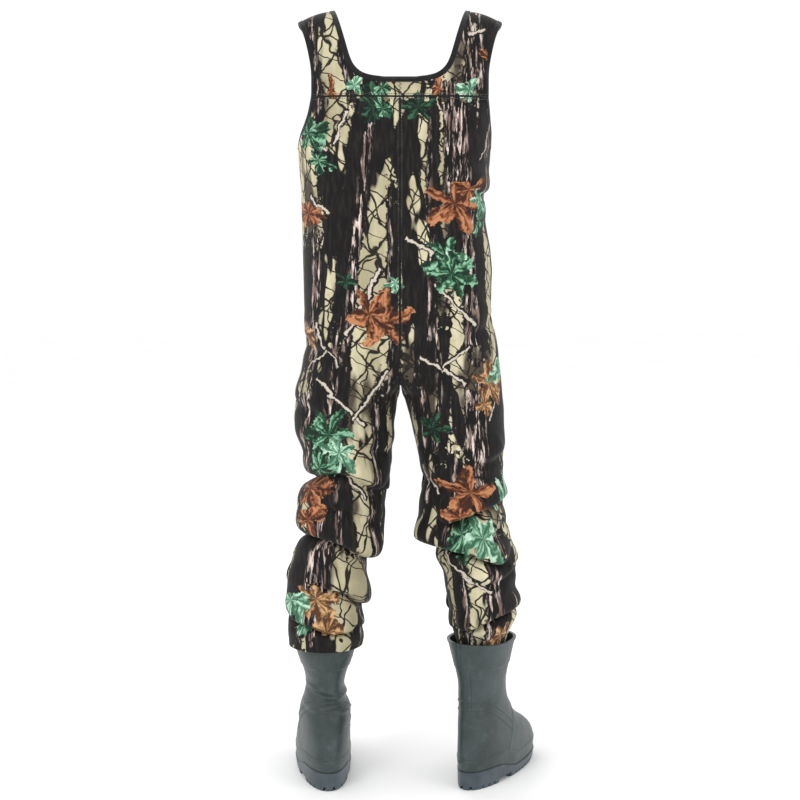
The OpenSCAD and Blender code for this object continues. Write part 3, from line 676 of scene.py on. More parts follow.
DEPTH = {
    "back": [(1.30, 0.112), (1.24, 0.116), (1.20, 0.118), (1.117, 0.120), (1.0, 0.116), (0.911, 0.119),
             (0.842, 0.123), (0.80, 0.119), (0.752, 0.110), (0.722, 0.104), (0.68, 0.098), (0.635, 0.092),
             (0.593, 0.084), (0.55, 0.088), (0.50, 0.082), (0.45, 0.080), (0.40, 0.083), (0.35, 0.079),
             (0.305, 0.073), (0.286, 0.062), (0.26, 0.056), (0.24, 0.052)],
    "front": [(1.30, 0.115), (1.262, 0.117), (1.20, 0.120), (1.0, 0.120), (0.911, 0.118), (0.842, 0.112),
              (0.80, 0.109), (0.752, 0.104), (0.722, 0.101), (0.68, 0.096), (0.635, 0.092), (0.593, 0.087),
              (0.55, 0.090), (0.50, 0.086), (0.45, 0.080), (0.40, 0.082), (0.35, 0.078), (0.305, 0.073),
              (0.286, 0.062), (0.26, 0.056), (0.24, 0.052)],
}
# Depth of the section at its inner end: full above the crotch, none below it
CROTCH = {
    "back": [(1.30, 1.0), (0.842, 1.0), (0.805, 0.93), (0.785, 0.80), (0.768, 0.56), (0.758, 0.34),
             (0.750, 0.0)],
    "front": [(1.30, 1.0), (0.842, 1.0), (0.805, 0.88), (0.785, 0.70), (0.768, 0.46), (0.758, 0.26),
              (0.750, 0.0)],
}
# How far from the middle the body's section is flat, and the cloth's thickness
FLAT_TO = 0.095
THICK = 0.0045
# Heights of the legs' ends and of the panels' tops, and the least depth of the left leg over its boot's rim
LEG_END = {1: 0.268, -1: 0.262}
PANEL_TOP = {"back": 1.2905, "front": 1.262}
OVER_RIM = [(0.340, 0.0), (0.312, 0.074), (0.296, 0.080), (0.250, 0.080)]
PANEL_ROWS = 300
PANEL_COLS = 90

# Folds: (points of the crease as (x, z), height of the roll above it, its width,
# and how far the roll droops over the crease)
FOLDS = {
    (1, "back"): [
        ([(0.200, 0.594), (0.156, 0.600), (0.125, 0.612), (0.095, 0.606), (0.062, 0.588), (0.040, 0.570)],
         0.012, 0.024, 0.012),
        ([(0.205, 0.490), (0.173, 0.492), (0.140, 0.488), (0.105, 0.478), (0.075, 0.456), (0.045, 0.440)],
         0.015, 0.024, 0.016),
        ([(0.150, 0.404), (0.122, 0.398), (0.095, 0.384), (0.070, 0.352)], 0.018, 0.020, 0.020),
        ([(0.205, 0.735), (0.170, 0.728), (0.140, 0.712)], 0.005, 0.030, 0.004),
        ([(0.020, 0.640), (0.055, 0.655), (0.090, 0.650)], 0.005, 0.026, 0.004),
        ([(0.212, 0.330), (0.170, 0.322), (0.130, 0.306), (0.085, 0.310)], 0.012, 0.016, 0.012),
        ([(0.140, 0.545), (0.110, 0.540), (0.060, 0.520)], 0.006, 0.018, 0.005),
        ([(0.185, 0.860), (0.150, 0.835), (0.110, 0.822)], 0.005, 0.026, 0.003),
    ],
    (-1, "back"): [
        ([(0.215, 0.566), (0.198, 0.560), (0.160, 0.546), (0.139, 0.538), (0.105, 0.524), (0.080, 0.513)],
         0.016, 0.022, 0.014),
        ([(0.028, 0.484), (0.050, 0.478), (0.080, 0.474), (0.120, 0.466), (0.160, 0.450), (0.190, 0.436)],
         0.020, 0.022, 0.018),
        ([(0.225, 0.352), (0.205, 0.350), (0.175, 0.340), (0.140, 0.318), (0.115, 0.308)],
         0.014, 0.016, 0.012),
        ([(0.200, 0.640), (0.170, 0.628), (0.140, 0.622)], 0.006, 0.024, 0.005),
        ([(0.050, 0.590), (0.075, 0.580), (0.105, 0.585)], 0.006, 0.022, 0.005),
        ([(0.170, 1.118), (0.150, 1.122), (0.110, 1.140), (0.080, 1.142)], 0.006, 0.022, 0.006),
        ([(0.215, 0.420), (0.185, 0.405), (0.150, 0.400)], 0.006, 0.020, 0.005),
        ([(0.180, 0.900), (0.150, 0.872), (0.120, 0.862)], 0.005, 0.028, 0.003),
    ],
    (1, "front"): [
        ([(0.205, 0.596), (0.160, 0.590), (0.110, 0.582), (0.060, 0.590), (0.030, 0.600)],
         0.008, 0.024, 0.008),
        ([(0.205, 0.490), (0.150, 0.470), (0.100, 0.464), (0.045, 0.448)], 0.013, 0.024, 0.012),
        ([(0.212, 0.385), (0.160, 0.372), (0.110, 0.378), (0.075, 0.360)], 0.013, 0.020, 0.012),
        ([(0.212, 0.330), (0.150, 0.312), (0.085, 0.310)], 0.010, 0.016, 0.010),
        ([(0.020, 0.780), (0.060, 0.812), (0.110, 0.840)], 0.006, 0.022, 0.004),
        ([(0.010, 0.740), (0.060, 0.752), (0.120, 0.762)], 0.006, 0.022, 0.004),
    ],
    (-1, "front"): [
        ([(0.215, 0.566), (0.160, 0.572), (0.105, 0.566), (0.050, 0.560)], 0.010, 0.022, 0.010),
        ([(0.028, 0.484), (0.080, 0.466), (0.140, 0.462), (0.205, 0.470)], 0.014, 0.022, 0.012),
        ([(0.225, 0.352), (0.175, 0.352), (0.120, 0.340), (0.092, 0.334)], 0.012, 0.018, 0.012),
        ([(0.020, 0.776), (0.070, 0.806), (0.120, 0.850)], 0.006, 0.022, 0.004),
        ([(0.012, 0.736), (0.070, 0.744), (0.120, 0.770)], 0.006, 0.022, 0.004),
        ([(0.212, 0.420), (0.160, 0.412), (0.110, 0.420)], 0.007, 0.020, 0.006),
    ],
}


def section_points(side, half, turns, z):
    """Section points at heights z (rows) and angles turns (columns), 0 inner to 180 outer."""
    inner = along(INNER[side], z)[:, None]
    outer = along(OUTER[side], z)[:, None]
    depth = along(DEPTH[half], z)[:, None]
    if side > 0:
        depth = np.maximum(depth, along(OVER_RIM, z)[:, None])
    close = along(CROTCH[half], z, 0.004)[:, None]
    below_waist = np.clip((0.842 - z) / 0.12, 0, 1)[:, None]
    middle = FLAT_TO + below_waist * ((inner + outer) / 2 - FLAT_TO)
    a = np.radians(turns)[None, :]
    inward = a < math.pi / 2
    x_in = middle - (middle - inner) * np.cos(a)
    y_in = depth * (close + (1 - close) * np.sin(a))
    x_out = middle + (outer - middle) * np.sin(a - math.pi / 2)
    y_out = depth * np.cos(a - math.pi / 2)
    x = np.where(inward, x_in, x_out)
    y = np.where(inward, y_in, y_out)
    return x, y


def fold_shift(folds, x, z):
    """How far folds push each point out and up: arrays like x."""
    out = np.zeros_like(x)
    up = np.zeros_like(x)
    for line, height, width, droop in folds:
        best = np.full_like(x, 9.0)
        signed = np.zeros_like(x)
        share = np.zeros_like(x)
        total = len(line) - 1
        for k in range(total):
            (ax, az), (bx, bz) = line[k], line[k + 1]
            dx = bx - ax
            dz = bz - az
            t = ((x - ax) * dx + (z - az) * dz) / (dx * dx + dz * dz)
            t = np.clip(t, 0, 1)
            px = x - ax - t * dx
            pz = z - az - t * dz
            distance = np.hypot(px, pz)
            closer = distance < best
            best = np.where(closer, distance, best)
            signed = np.where(closer, np.where(pz + 1e-9 * px > 0, 1.0, -1.0) * distance, signed)
            share = np.where(closer, (k + t) / total, share)
        fade = np.clip(np.minimum(share, 1 - share) * 5 + 0.35, 0, 1)
        fade = fade * fade * (3 - 2 * fade)
        q = signed / width
        roll = bump((q - 0.85) / 0.75) - 0.95 * bump((q + 0.12) / 0.42) + 0.40 * bump((q + 1.5) / 0.9)
        out += height * fade * roll
        up -= droop * fade * bump((q - 0.55) / 0.6)
    return out, up


def armhole(side, z):
    """Angle at which the back panel's edge ends at heights z above the underarm."""
    edge = {
        1: [(1.292, 0.158), (1.262, 0.166), (1.240, 0.175),
            (1.229, 0.181), (1.215, 0.186), (1.200, 0.189)],
        -1: [(1.292, 0.158), (1.262, 0.163), (1.240, 0.166),
             (1.229, 0.168), (1.215, 0.168), (1.200, 0.168)],
    }
    x = along(edge[side], z, 0.004)
    outer = along(OUTER[side], z)
    ratio = np.clip((x - FLAT_TO) / (outer - FLAT_TO), 0, 1)
    free = 90 + np.degrees(np.arcsin(ratio))
    keep = np.clip((z - 1.197) / 0.012, 0, 1)
    return 180 + (free - 180) * keep


def bib_edge(z):
    """Angle at which the front panel's edge ends at heights z above the underarm."""
    table = [(1.262, 109), (1.240, 122), (1.220, 140), (1.208, 158), (1.198, 180)]
    return along(table, z, 0.003)


def panel_grid(side, half):
    """A panel before its folds: x, y, heights, arc from its inner edge, arc where the print starts."""
    rows = PANEL_ROWS
    cols = PANEL_COLS
    z = np.linspace(PANEL_TOP[half], LEG_END[side], rows)
    share = np.linspace(0, 1, cols)
    end = armhole(side, z) if half == "back" else bib_edge(z)
    # columns are evenly spread along the arc of a plain section
    sample = np.linspace(0, 180, 181)
    quarter = 90
    sx, sy = section_points(side, half, sample, z)
    step = np.hypot(np.diff(sx, axis=1), np.diff(sy, axis=1))
    run = np.concatenate([np.zeros((rows, 1)), np.cumsum(step, axis=1)], axis=1)
    x = np.zeros((rows, cols))
    y = np.zeros((rows, cols))
    arc = np.zeros((rows, cols))
    printed = run[:, quarter] - sx[:, quarter]
    for i in range(rows):
        full = np.interp(end[i], sample, run[i])
        at = share * full
        x[i] = np.interp(at, run[i], sx[i])
        y[i] = np.interp(at, run[i], sy[i])
        arc[i] = at
    return x, y, z, arc, printed


def neoprene_panel(side, half):
    """One sheet from the yoke seam or bib to the boot, with its folds and its seam edges."""
    x, y, z, arc, printed = panel_grid(side, half)
    rows, cols = x.shape
    zz = np.repeat(z[:, None], cols, axis=1)
    facing = 1 if half == "back" else -1
    flat = np.stack([x, y * facing, zz], axis=2)
    normal = normals_of(flat, 1 if half == "back" else -1)
    normal[:, :, 2] = 0
    normal /= np.maximum(np.linalg.norm(normal, axis=2, keepdims=True), 1e-9)
    out, up = fold_shift(FOLDS[(side, half)], x, zz)
    points = np.stack([x * side, y * facing, zz], axis=2)
    rough = noise_field(points.reshape(-1, 3), 9.0, 3.0 * side + 1).reshape(rows, cols)
    fine = noise_field(points.reshape(-1, 3) * np.array([1, 1, 1.6]), 22.0, 5.0).reshape(rows, cols)
    slack = np.clip((0.80 - zz) / 0.25, 0.12, 1)
    out += slack * (0.0050 * rough + 0.0026 * fine)
    # the middle seam and the side seam draw in a little
    width = arc[:, -1:]
    draw = bump(arc / 0.006) + bump((width - arc) / 0.006)
    out -= 0.0014 * draw
    # the free edges of the crotch, the arm opening and the yoke seam stay where their bindings hold them
    hold = np.clip((1.285 - zz) / 0.03, 0, 1)
    hold = hold * np.clip((zz - (0.288 if side < 0 else 0.262)) / 0.022, 0, 1)
    out *= hold
    up *= hold
    pinned = 1 - bump(arc / 0.010) * np.clip((zz - 0.740) / 0.02, 0, 1)
    normal[:, :, 0] *= pinned
    shifted = flat + normal * out[:, :, None]
    shifted[:, :, 2] += up
    shifted[:, :, 0] = np.maximum(shifted[:, :, 0], 0.00005)
    # the two halves of a leg meet on the side seams
    seam_y = np.maximum(shifted[:, :, 1] * facing, 0.00005) * facing
    shifted[:, :, 1] = seam_y
    limit = along([(1.30, 0.122), (1.18, 0.1200), (0.99, 0.1200), (0.95, 0.13), (0.2, 0.13)], z)[:, None]
    if half == "front":
        shifted[:, :, 1] = np.maximum(shifted[:, :, 1], -limit)
    inner_side = shifted - THICK * normals_of(shifted, 1 if half == "back" else -1)
    inner_side[:, :, 0] = np.maximum(inner_side[:, :, 0], 0.00005)
    inner_side[:, :, 1] = np.maximum(inner_side[:, :, 1] * facing, 0.00005) * facing
    mirror = np.array([side, 1, 1])
    turn = (1 if half == "back" else -1) * side
    uvs = np.zeros((rows, cols, 2))
    across = (arc - printed[:, None]) * side
    uvs[:, :, 0] = across if half == "back" else -across
    uvs[:, :, 1] = zz
    name = f"{half}_panel_sheet_{SIDES[side]}"
    obj = solid_sheet(name, shifted * mirror, THICK, turn, uvs, inner_side * mirror)
    paint(obj, CAMO, INSIDE)
    return obj, shifted * mirror, normals_of(shifted * mirror, turn)


def leg_blend(obj):
    """Bakes a piece's placement into its mesh."""
    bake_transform(obj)


PANELS = {}
for side in (1, -1):
    for half in ("back", "front"):
        obj, grid, normal = neoprene_panel(side, half)
        PANELS[(side, half)] = (obj, grid, normal)
        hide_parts(f"{half}_panel_{SIDES[side]}", f"shin_{half}_panel_{SIDES[side]}")
        leg_blend(obj)

# ------------------------------------------------------------------ yoke, straps and bindings
YOKE = [
    (0.0, 0.158, 0.1125, 1.2912, 1.0, 0.0),
    (0.0, 0.158, 0.111, 1.308, 1.0, 0.0),
    (0.0, 0.158, 0.110, 1.322, 1.0, 0.0),
    (0.045, 0.158, 0.1095, 1.325, 1.0, 0.0),
    (0.068, 0.158, 0.109, 1.331, 1.0, 0.0),
    (0.084, 0.159, 0.107, 1.344, 1.0, 0.0),
    (0.093, 0.161, 0.104, 1.362, 0.9, 0.0),
    (0.100, 0.165, 0.097, 1.385, 0.7, 0.002),
    (0.108, 0.171, 0.082, 1.412, 0.5, 0.008),
    (0.116, 0.179, 0.055, 1.436, 0.2, 0.014),
    (0.122, 0.184, 0.015, 1.450, 0.0, 0.020),
    (0.122, 0.184, -0.025, 1.446, 0.0, 0.020),
    (0.114, 0.174, -0.065, 1.430, 0.0, 0.012),
    (0.108, 0.158, -0.091, 1.404, 0.0, 0.002),
    (0.105, 0.149, -0.097, 1.384, 0.0, 0.0),
]


def smooth_rows(rows, per):
    """Catmull-Rom rows through the given rows, per steps between each two."""
    rows = np.array(rows, float)
    out = []
    for i in range(len(rows) - 1):
        p0 = rows[max(i - 1, 0)]
        p1 = rows[i]
        p2 = rows[i + 1]
        p3 = rows[min(i + 2, len(rows) - 1)]
        for k in range(per):
            t = k / per
            out.append(0.5 * (2 * p1 + (p2 - p0) * t + (2 * p0 - 5 * p1 + 4 * p2 - p3) * t * t
                              + (3 * p1 - p0 - 3 * p2 + p3) * t ** 3))
    out.append(rows[-1])
    return np.array(out)


def yoke_grid():
    rows = smooth_rows(YOKE, 6)
    cols = 44
    share = np.linspace(0, 1, cols)
    grid = np.zeros((len(rows), cols, 3))
    for i, (x_in, x_out, y, z, wrap, drop) in enumerate(rows):
        x = max(x_in, 0.0) + (x_out - max(x_in, 0.0)) * share
        sag = np.clip((x - FLAT_TO) / (0.187 - FLAT_TO), 0, 0.99)
        back = np.minimum(0.112 * (1 - np.sqrt(1 - sag ** 2)), 0.032)
        grid[i, :, 0] = x
        grid[i, :, 1] = y - wrap * back
        crown = 0.004 * np.sin(math.pi * share) * (1 - wrap * 0.8)
        grid[i, :, 2] = z - drop * share + crown
    return grid


def yoke(side):
    grid = yoke_grid()
    mirror = np.array([side, 1, 1])
    run = run_along(grid[:, -1])
    uvs = np.zeros(grid.shape[:2] + (2,))
    uvs[:, :, 0] = grid[:, :, 0] * side
    uvs[:, :, 1] = 1.291 + run[:, None]
    obj = solid_sheet(f"yoke_strap_sheet_{SIDES[side]}", grid * mirror, THICK, -side, uvs)
    paint(obj, CAMO, INSIDE)
    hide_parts(f"back_yoke_strap_{SIDES[side]}")
    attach(obj, "upper_garment")
    return grid * mirror


YOKES = {side: yoke(side) for side in (1, -1)}


def edge_binding(name, path, normal, outward, node, width=0.0105):
    """A tape folded over an edge: path follows the sheet's outer edge; outward points away from the sheet."""
    path = np.asarray(path)
    normal = np.asarray(normal)
    centre = path - normal * (THICK / 2)
    tangent = np.gradient(path, axis=0)
    tangent /= np.linalg.norm(tangent, axis=1, keepdims=True)
    side = np.cross(tangent, normal)
    side /= np.linalg.norm(side, axis=1, keepdims=True)
    sign = np.sign((side * outward).sum(axis=1, keepdims=True))
    sign[sign == 0] = 1
    centre = centre + side * sign * (0.0022 - width / 2 + 0.0012)
    obj = tube(name, centre, rounded(width, THICK + 0.0024, 0.0026, 4), normal)
    paint(obj, BINDING)
    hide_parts(node)
    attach(obj, "upper_garment")
    return obj


def neckline():
    left = YOKES[1]
    right = YOKES[-1]
    n_left = normals_of(left, -1)
    n_right = normals_of(right, 1)
    start = 16
    path = np.concatenate([left[::-1, 0][:-start], right[start:, 0]])
    up = np.concatenate([n_left[::-1, 0][:-start], n_right[start:, 0]])
    # the two halves meet at the centre, so the path is spread evenly through it
    keep = [0]
    for i in range(1, len(path)):
        if np.linalg.norm(path[i] - path[keep[-1]]) > 0.0035:
            keep.append(i)
    path = path[keep]
    up = up[keep]
    run = run_along(path)
    even = np.linspace(0, run[-1], int(run[-1] / 0.004))
    path = np.stack([np.interp(even, run, path[:, k]) for k in range(3)], axis=1)
    up = np.stack([np.interp(even, run, up[:, k]) for k in range(3)], axis=1)
    up /= np.linalg.norm(up, axis=1, keepdims=True)
    centre = np.array([0, 0.03, 1.47])
    outward = centre - path
    return edge_binding("neck_tape", path, up, outward, "neck_binding")


neckline()


def resample(path, extra, step=0.004):
    gaps = np.linalg.norm(np.diff(path, axis=0), axis=1)
    keep = np.concatenate([[True], gaps > 1e-6])
    path = path[keep]
    extra = extra[keep]
    run = run_along(path)
    even = np.linspace(0, run[-1], max(4, int(run[-1] / step)))
    a = np.stack([np.interp(even, run, path[:, k]) for k in range(3)], axis=1)
    b = np.stack([np.interp(even, run, extra[:, k]) for k in range(3)], axis=1)
    b /= np.linalg.norm(b, axis=1, keepdims=True)
    return a, b


def soften(values, passes=6):
    for _ in range(passes):
        values[1:-1] = (values[:-2] + 2 * values[1:-1] + values[2:]) / 4
    return values


def armholes(side):
    strap = YOKES[side]
    strap_n = normals_of(strap, -side)
    back, back_n = PANELS[(side, "back")][1:]
    front, front_n = PANELS[(side, "front")][1:]
    back_rows = [i for i in range(back.shape[0]) if 1.202 < back[i, -1, 2] < 1.288]
    front_rows = [i for i in range(front.shape[0]) if 1.202 < front[i, -1, 2] < 1.2625]
    path = np.concatenate([strap[::-1, -1], back[back_rows, -1], front[front_rows[::-1], -1]])
    up = np.concatenate([strap_n[::-1, -1], back_n[back_rows, -1], front_n[front_rows[::-1], -1]])
    path, up = resample(path, up)
    path = soften(path, 5)
    up = soften(up, 14)
    up /= np.linalg.norm(up, axis=1, keepdims=True)
    middle = np.array([side * 0.21, 0.0, 1.30])
    outward = middle - path
    edge_binding(f"armhole_tape_{SIDES[side]}", path, up, outward, f"armhole_binding_{SIDES[side]}")


for side in (1, -1):
    armholes(side)


def bib_top():
    left = PANELS[(1, "front")][1][0]
    right = PANELS[(-1, "front")][1][0]
    path = np.concatenate([left[::-1], right[1:]])
    normal = np.concatenate([PANELS[(1, "front")][2][0][::-1], PANELS[(-1, "front")][2][0][1:]])
    path, normal = resample(path, normal)
    normal = soften(normal, 8)
    outward = np.tile(np.array([0, 0, 1.0]), (len(path), 1))
    edge_binding("bib_top_tape", path, normal, outward, "bib_top_binding")


bib_top()


# ------------------------------------------------------------------ boots
BOOT_X = {1: 0.142, -1: 0.155}
SPLAY = {1: 7, -1: 25}
# Boot sections: (height, heel y, toe y, half width at heel, half width at toe)
BOOT = {
    1: [
        (0.000, 0.0715, -0.224, 0.041, 0.058), (0.026, 0.073, -0.227, 0.042, 0.060),
        (0.040, 0.074, -0.228, 0.043, 0.061), (0.058, 0.074, -0.219, 0.044, 0.059),
        (0.075, 0.073, -0.198, 0.045, 0.056), (0.092, 0.070, -0.166, 0.046, 0.053),
        (0.108, 0.068, -0.132, 0.047, 0.050), (0.126, 0.068, -0.104, 0.048, 0.049),
        (0.150, 0.068, -0.086, 0.048, 0.046), (0.170, 0.064, -0.076, 0.040, 0.041),
        (0.190, 0.060, -0.071, 0.035, 0.038), (0.207, 0.061, -0.070, 0.037, 0.040),
        (0.226, 0.064, -0.070, 0.042, 0.045), (0.250, 0.068, -0.072, 0.051, 0.052),
        (0.280, 0.070, -0.073, 0.060, 0.060),
    ],
    -1: [
        (0.000, 0.0715, -0.224, 0.041, 0.058), (0.026, 0.073, -0.227, 0.042, 0.060),
        (0.040, 0.074, -0.228, 0.043, 0.061), (0.058, 0.074, -0.219, 0.044, 0.059),
        (0.075, 0.073, -0.198, 0.044, 0.056), (0.092, 0.070, -0.166, 0.043, 0.052),
        (0.108, 0.066, -0.130, 0.042, 0.049), (0.126, 0.062, -0.101, 0.041, 0.046),
        (0.150, 0.059, -0.082, 0.040, 0.043), (0.170, 0.059, -0.074, 0.040, 0.041),
        (0.190, 0.061, -0.072, 0.040, 0.041), (0.207, 0.063, -0.071, 0.042, 0.043),
        (0.226, 0.066, -0.071, 0.046, 0.047), (0.250, 0.068, -0.072, 0.052, 0.053),
        (0.280, 0.071, -0.073, 0.061, 0.061),
    ],
}


def boot_sections(side, z):
    rows = smooth_rows(BOOT[side], 8)
    return [np.interp(z, rows[:, 0], rows[:, k]) for k in range(1, 5)]


def boot_surface(side, z, turns, grow=0.0):
    """Points of the boot at heights z (rows) and turns (columns), 0 at the heel and 180 at the toe."""
    heel, toe, w_heel, w_toe = [v[:, None] + 0 * turns[None, :] for v in boot_sections(side, z)]
    a = np.radians(turns)[None, :]
    t = (1 - np.cos(a)) / 2
    width = w_heel * (1 - t) + w_toe * t + grow
    low = np.clip((0.130 - z) / 0.090, 0, 1)[:, None]
    x = np.sign(np.sin(a)) * np.abs(np.sin(a)) ** 0.86 * width - 0.009 * low * t * t
    y = (heel + toe) / 2 + ((heel - toe) / 2 + grow) * np.cos(a)
    zz = z[:, None] + 0 * x
    return np.stack([x, y, zz], axis=2)


def place_boot(side, points):
    """From the boot's own frame, drawn as a left boot, to the wearer's frame."""
    a = math.radians(SPLAY[side])
    x = points[..., 0] * math.cos(a) - points[..., 1] * math.sin(a) + BOOT_X[side]
    y = points[..., 0] * math.sin(a) + points[..., 1] * math.cos(a)
    return np.stack([x * side, y, points[..., 2]], axis=-1)


def sole_line(y):
    """Height of the line between the upper and the outsole, high at the heel and lower at the forefoot."""
    t = np.clip((y + 0.070) / 0.080, 0, 1)
    return 0.019 + 0.016 * t * t * (3 - 2 * t)


def boot_upper(side):
    rows = 230
    cols = 240
    z = np.linspace(0.012, 0.280, rows)
    turns = np.linspace(0, 360, cols, endpoint=False)
    base = boot_surface(side, z, turns)
    x = base[:, :, 0]
    y = base[:, :, 1]
    h = base[:, :, 2]
    closed = np.concatenate([base[:, -1:], base, base[:, :1]], axis=1)
    normal = normals_of(closed, 1)[:, 1:-1]
    outward = np.sign((normal[:, :, :2] * (base[:, :, :2] - np.array([0, -0.02]))).sum(axis=2).mean())
    normal *= outward
    out = np.zeros_like(x)
    # top band, with a lip at the rim
    band = np.clip((h - 0.229) / 0.0012, 0, 1)
    out += 0.0013 * band + 0.0012 * np.clip((h - 0.2745) / 0.001, 0, 1)
    # strip up the back with a ridge on each side, and the seam across the band
    behind = (y > 0.02)
    strip_on = behind & (h > 0.150) & (h < 0.230)
    out += np.where(strip_on, 0.0013 * (bump((x + 0.001) / 0.0010) + bump((x - 0.006) / 0.0010)), 0)
    out -= np.where(behind & (h > 0.235), 0.0011 * bump((x + 0.016) / 0.0011), 0)
    # two raised arcs round the back of the ankle that run down to the foot
    for start, drop in ((0.168, 0.070), (0.152, 0.072)):
        forward = np.clip((0.046 - y) / 0.110, 0, 1)
        line = start - drop * forward ** 1.15
        out += 0.0015 * bump((h - line) / 0.0016) * (y > -0.052)
    # seam between the vamp and the heel piece
    seam = -0.052 - 0.45 * (h - 0.100)
    out += 0.0012 * bump((y - seam) / 0.0014) * (h < 0.190) * (h > 0.055)
    # foxing: a thicker band round the foot, and a plain patch on the heel
    foxing = sole_line(y) + 0.024
    out += 0.0014 * np.clip((foxing - h) / 0.0012, 0, 1)
    patch = behind & (np.abs(x) < 0.019) & (h > 0.0405) & (h < 0.0515)
    out += np.where(patch, 0.0009, 0)
    if side == 1:
        # the left shaft has slumped: creases across the ankle
        for level, tilt, deep in ((0.178, 0.20, 0.0040), (0.160, -0.16, 0.0030), (0.143, 0.10, 0.0022)):
            q = (h - level - tilt * x) / 0.0062
            soft = np.clip((y + 0.03) / 0.05, 0, 1)
            out += deep * soft * (0.8 * bump(q - 1.3) - bump(q))
    wrinkle = noise_field((base * np.array([1, 1, 1.5])).reshape(-1, 3), 16.0, 2.0 + side).reshape(x.shape)
    out += 0.0014 * wrinkle * np.clip((h - 0.07) / 0.06, 0, 1)
    outer = base + normal * out[:, :, None]
    # the lower edge follows the sole line
    foot = np.clip((0.060 - h) / 0.048, 0, 1)
    outer[:, :, 2] += foot * np.maximum(sole_line(y) - 0.001 - 0.012, 0)
    wall = 0.0033
    inner = base - normal * wall
    inner[:, :, 2] = outer[:, :, 2]
    n = rows * cols
    walls = [place_boot(side, outer).reshape(-1, 3), place_boot(side, inner).reshape(-1, 3)]
    points = np.concatenate(walls) + WORLD
    faces = quads(rows, cols, 0, False, wrap=True)
    faces += quads(rows, cols, n, True, wrap=True)
    for j in range(cols):
        k = (j + 1) % cols
        faces.append((j, k, n + k, n + j))
        top = (rows - 1) * cols
        faces.append((top + k, top + j, n + top + j, n + top + k))
    obj = add_object(f"rubber_boot_{SIDES[side]}", points, faces)
    fix_normals(obj, 60)
    paint(obj, RUBBER)
    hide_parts(f"boot_upper_{SIDES[side]}")
    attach(obj, LOWER_LEG[side])
    # felt lining, just inside the wall
    low = [i for i in range(rows) if 0.034 < z[i] < 0.236]
    low = low[::3]
    around = list(range(0, cols, 3)) + [0]
    felt = (outer - normal * (wall + 0.0012 + np.maximum(out, 0)[:, :, None]))[low][:, around]
    felt_normal = normal[low][:, around]
    lining = solid_sheet(f"felt_lining_{SIDES[side]}", place_boot(side, felt), 0.0012, side,
                         inner=place_boot(side, felt - felt_normal * 0.0012))
    paint(lining, FELT, FELT)
    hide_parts(f"boot_lining_{SIDES[side]}")
    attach(lining, LOWER_LEG[side])


def box_mesh(x, y, z):
    points = [(a, b, c) for a in x for b in y for c in z]
    faces = [(0, 1, 3, 2), (4, 6, 7, 5), (0, 4, 5, 1), (2, 3, 7, 6), (0, 2, 6, 4), (1, 5, 7, 3)]
    return points, faces


